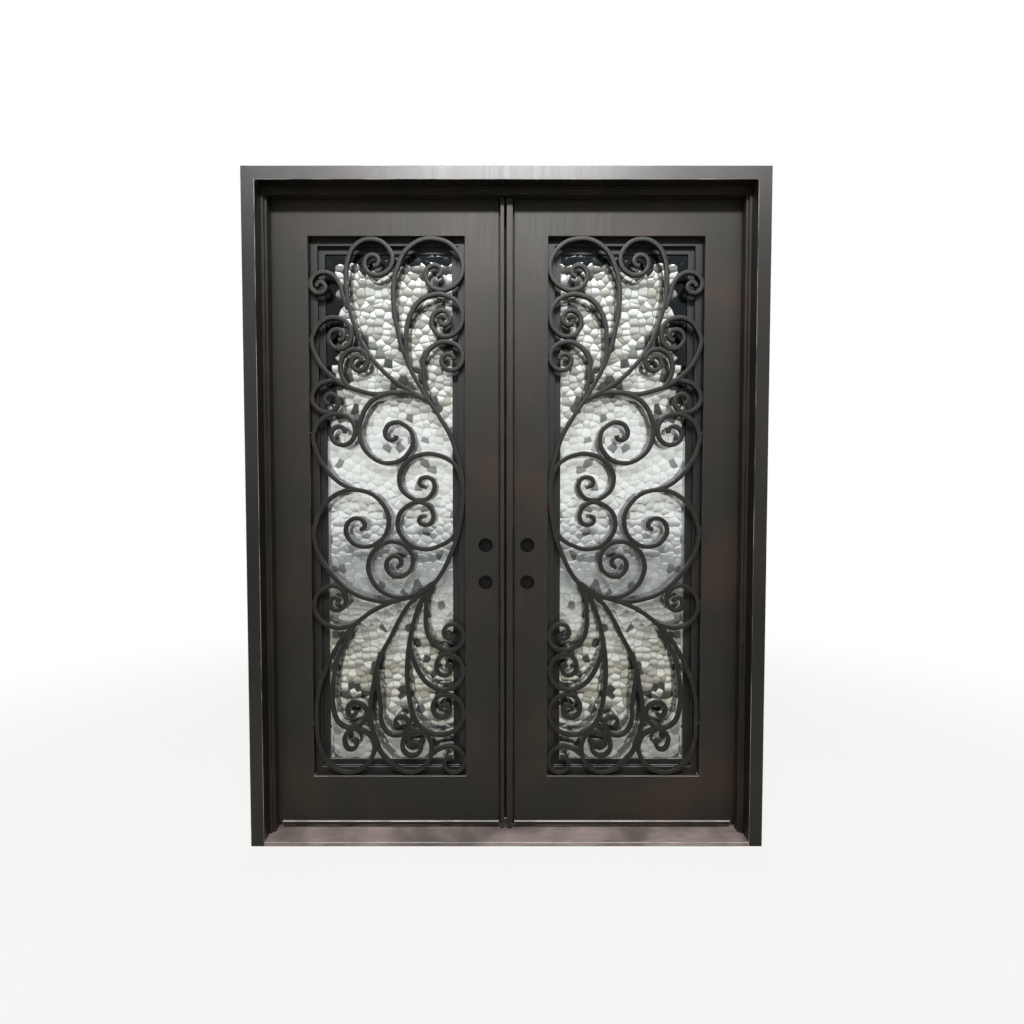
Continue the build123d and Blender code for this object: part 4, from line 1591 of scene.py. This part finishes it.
# Middle lines of the scrolls, as in the CAD model: the first number runs from
# the lock stile towards the hinges, the second one up from the bottom rail
HINGE_SIDE, TOP, LOCK_SIDE, FOOT = Compass
WITH_CLOCK, AGAINST_CLOCK = Turn
SCROLLS: dict[str, Scroll] = {
    "spine": Scroll(
        ((148, 1439), (108, 1382), (75, 1329), (50, 1279), (34, 1229), (21, 1184), (9, 1074),
         (21, 964), (35, 904), (58, 844), (86, 784), (123, 734), (163, 699)),
    ),
    "arch": Scroll(
        ((148, 1429), (205, 1460), (263, 1496), (316, 1544), (365, 1604), (403, 1684),
         (428, 1759), (441, 1844), (441, 1894)),
        Volute((340, 1934), HINGE_SIDE, AGAINST_CLOCK, (96, 83, 71, 46, 31, 26, 21, 14)),
    ),
    "arch_branch": Scroll(
        ((437, 1765), (447, 1793), (456, 1819)),
        Volute((538, 1844), LOCK_SIDE, WITH_CLOCK, (77, 51, 33, 23, 20, 16, 12)),
    ),
    "tall_arch": Scroll(
        ((148, 1439), (173, 1484), (201, 1534), (221, 1584), (240, 1634), (251, 1684),
         (261, 1734), (266, 1784), (266, 1844)),
        Volute((105, 1899), HINGE_SIDE, AGAINST_CLOCK, (151, 119, 96, 65, 39, 22, 17, 17)),
    ),
    "tall_arch_branch": Scroll(
        ((215, 1564), (220, 1609), (219, 1654), (215, 1704), (199, 1749), (171, 1789), (131, 1811)),
        Volute((81, 1724), TOP, AGAINST_CLOCK, (91, 71, 63, 42, 33, 25, 20, 12)),
    ),
    "upper_lock_curl": Scroll(
        ((143, 1439), (151, 1484), (156, 1529)),
        Volute((55, 1577), HINGE_SIDE, AGAINST_CLOCK, (98, 62, 45, 40, 33, 18, 12)),
    ),
    "upper_side_curl": Scroll(
        ((163, 1436), (213, 1452), (273, 1455), (333, 1448), (388, 1459), (450, 1481),
         (503, 1518), (551, 1580), (571, 1646)),
        Volute((471, 1661), HINGE_SIDE, AGAINST_CLOCK, (97, 68, 47, 45, 36, 25, 20, 14)),
    ),
    "upper_side_branch": Scroll(
        ((439, 1478), (458, 1509)),
        Volute((399, 1570), HINGE_SIDE, AGAINST_CLOCK, (64, 43, 35, 35, 24, 17, 12)),
    ),
    "upper_side_drop": Scroll(
        ((441, 1483), (463, 1496)),
        Volute((506, 1426), TOP, WITH_CLOCK, (71, 65, 44, 30, 22, 18, 14)),
    ),
    "hanging_curl": Scroll(
        ((243, 1452), (283, 1452), (325, 1439), (361, 1411), (385, 1369)),
        Volute((273, 1294), HINGE_SIDE, WITH_CLOCK, (123, 102, 75, 47, 26, 16, 14)),
    ),
    "spine_upper_curl": Scroll(
        ((9, 1074), (14, 1124), (29, 1169), (58, 1201), (98, 1220)),
        Volute((155, 1119), TOP, WITH_CLOCK, (106, 93, 65, 36, 18, 17, 16)),
    ),
    "spine_lower_curl": Scroll(
        ((9, 1074), (15, 1014), (28, 949), (50, 910), (93, 882)),
        Volute((158, 977), FOOT, AGAINST_CLOCK, (110, 97, 64, 34, 17, 17, 15)),
    ),
    "middle_side_curl": Scroll(
        ((163, 699), (233, 680), (303, 668), (363, 677), (429, 702), (491, 754), (538, 815),
         (565, 882)),
        Volute((398, 954), HINGE_SIDE, AGAINST_CLOCK, (169, 135, 107, 76, 51, 28, 17, 11)),
    ),
    "middle_side_branch": Scroll(
        ((403, 1089), (447, 1103), (489, 1131), (529, 1176), (557, 1231)),
        Volute((465, 1302), HINGE_SIDE, AGAINST_CLOCK, (102, 71, 51, 43, 38, 25, 12)),
    ),
    "middle_curl": Scroll(
        ((143, 716), (188, 695), (238, 683), (288, 691), (331, 719), (358, 759)),
        Volute((261, 814), HINGE_SIDE, AGAINST_CLOCK, (106, 80, 61, 51, 38, 26, 17, 14)),
    ),
    "lower_side_stem": Scroll(
        ((163, 699), (223, 682), (283, 664), (343, 637), (400, 598), (456, 544), (496, 484),
         (533, 409), (556, 344), (567, 274), (568, 204)),
        Volute((437, 124), HINGE_SIDE, WITH_CLOCK, (124, 111, 85, 52, 25, 24, 19, 13)),
    ),
    "lower_side_rise": Scroll(
        ((403, 589), (443, 574)),
        Volute((493, 666), FOOT, AGAINST_CLOCK, (98, 77, 61, 39, 31, 20, 18, 12)),
    ),
    "lower_side_drop": Scroll(
        ((423, 579), (455, 514), (480, 467), (496, 414), (506, 344)),
        Volute((433, 244), HINGE_SIDE, WITH_CLOCK, (70, 60, 54, 37, 18, 14, 14)),
    ),
    "lower_middle_stem": Scroll(
        ((163, 699), (208, 664), (249, 604), (284, 534), (317, 474), (339, 414), (353, 344),
         (363, 284), (366, 234), (358, 179), (342, 129), (317, 77)),
        Volute((208, 114), FOOT, WITH_CLOCK, (101, 78)),
    ),
    "lower_middle_tip": Scroll(
        ((130, 94), (135, 126), (151, 155), (188, 168), (221, 146), (216, 129), (194, 120),
         (174, 129), (169, 141)),
    ),
    "lower_middle_branch": Scroll(
        ((342, 404), (334, 344), (329, 304), (325, 264)),
        Volute((255, 202), HINGE_SIDE, WITH_CLOCK, (66, 47, 35, 23, 14, 11)),
    ),
    "lower_middle_ring": Scroll(
        ((228, 184), (235, 156)),
        Volute((205, 109), HINGE_SIDE, WITH_CLOCK, (38, 33, 33, 16, 14)),
    ),
    "lower_lock_stem": Scroll(
        ((153, 709), (180, 644), (204, 564), (218, 484), (224, 404), (219, 324), (207, 254),
         (184, 199), (146, 168)),
        Volute((85, 252), FOOT, WITH_CLOCK, (95, 76, 59, 41, 28, 24, 17, 12)),
    ),
    "lower_lock_branch": Scroll(
        ((214, 496), (195, 434), (173, 389), (141, 351)),
        Volute((78, 412), FOOT, WITH_CLOCK, (82, 67, 54, 33, 26, 21, 12)),
    ),
    "lower_lock_curl": Scroll(
        ((146, 709), (150, 634), (150, 574), (138, 529), (108, 495)),
        Volute((58, 544), FOOT, WITH_CLOCK, (62, 50, 37, 25, 17, 13)),
    ),
    "corner_curl": Scroll(
        ((130, 80), (115, 93), (98, 103)),
        Volute((51, 52), TOP, AGAINST_CLOCK, (59, 44, 39, 32, 14)),
    ),
}

# Plate where the lower stems are gathered
HUB = ((109, 749), (115, 719), (127, 689), (173, 689), (193, 702), (153, 726), (128, 746))

# Spots on the opening's edges where the bars are welded to the leaf
WELD_SPOTS = (
    (340, 2026), (105, 2026), (580, 1844), (580, 1650), (580, 1426), (580, 1302), (580, 945),
    (580, 666), (580, 200), (437, 0), (208, 0), (51, 0), (0, 1899), (0, 1724), (0, 1577),
    (0, 1074), (0, 544), (0, 412), (0, 252), (0, 52),
)


def main() -> None:
    """Dress the door and set up the studio around it."""
    logging.basicConfig(level=logging.INFO, format="%(name)s %(message)s")
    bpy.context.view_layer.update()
    finishes = FinishShelf()
    OuterFrame(finishes).build()
    for side in Side:
        SwingingLeaf(side, finishes).build()
    Studio().build()
    bpy.context.scene.view_settings.view_transform = "Standard"


if __name__ == "__main__":
    main()
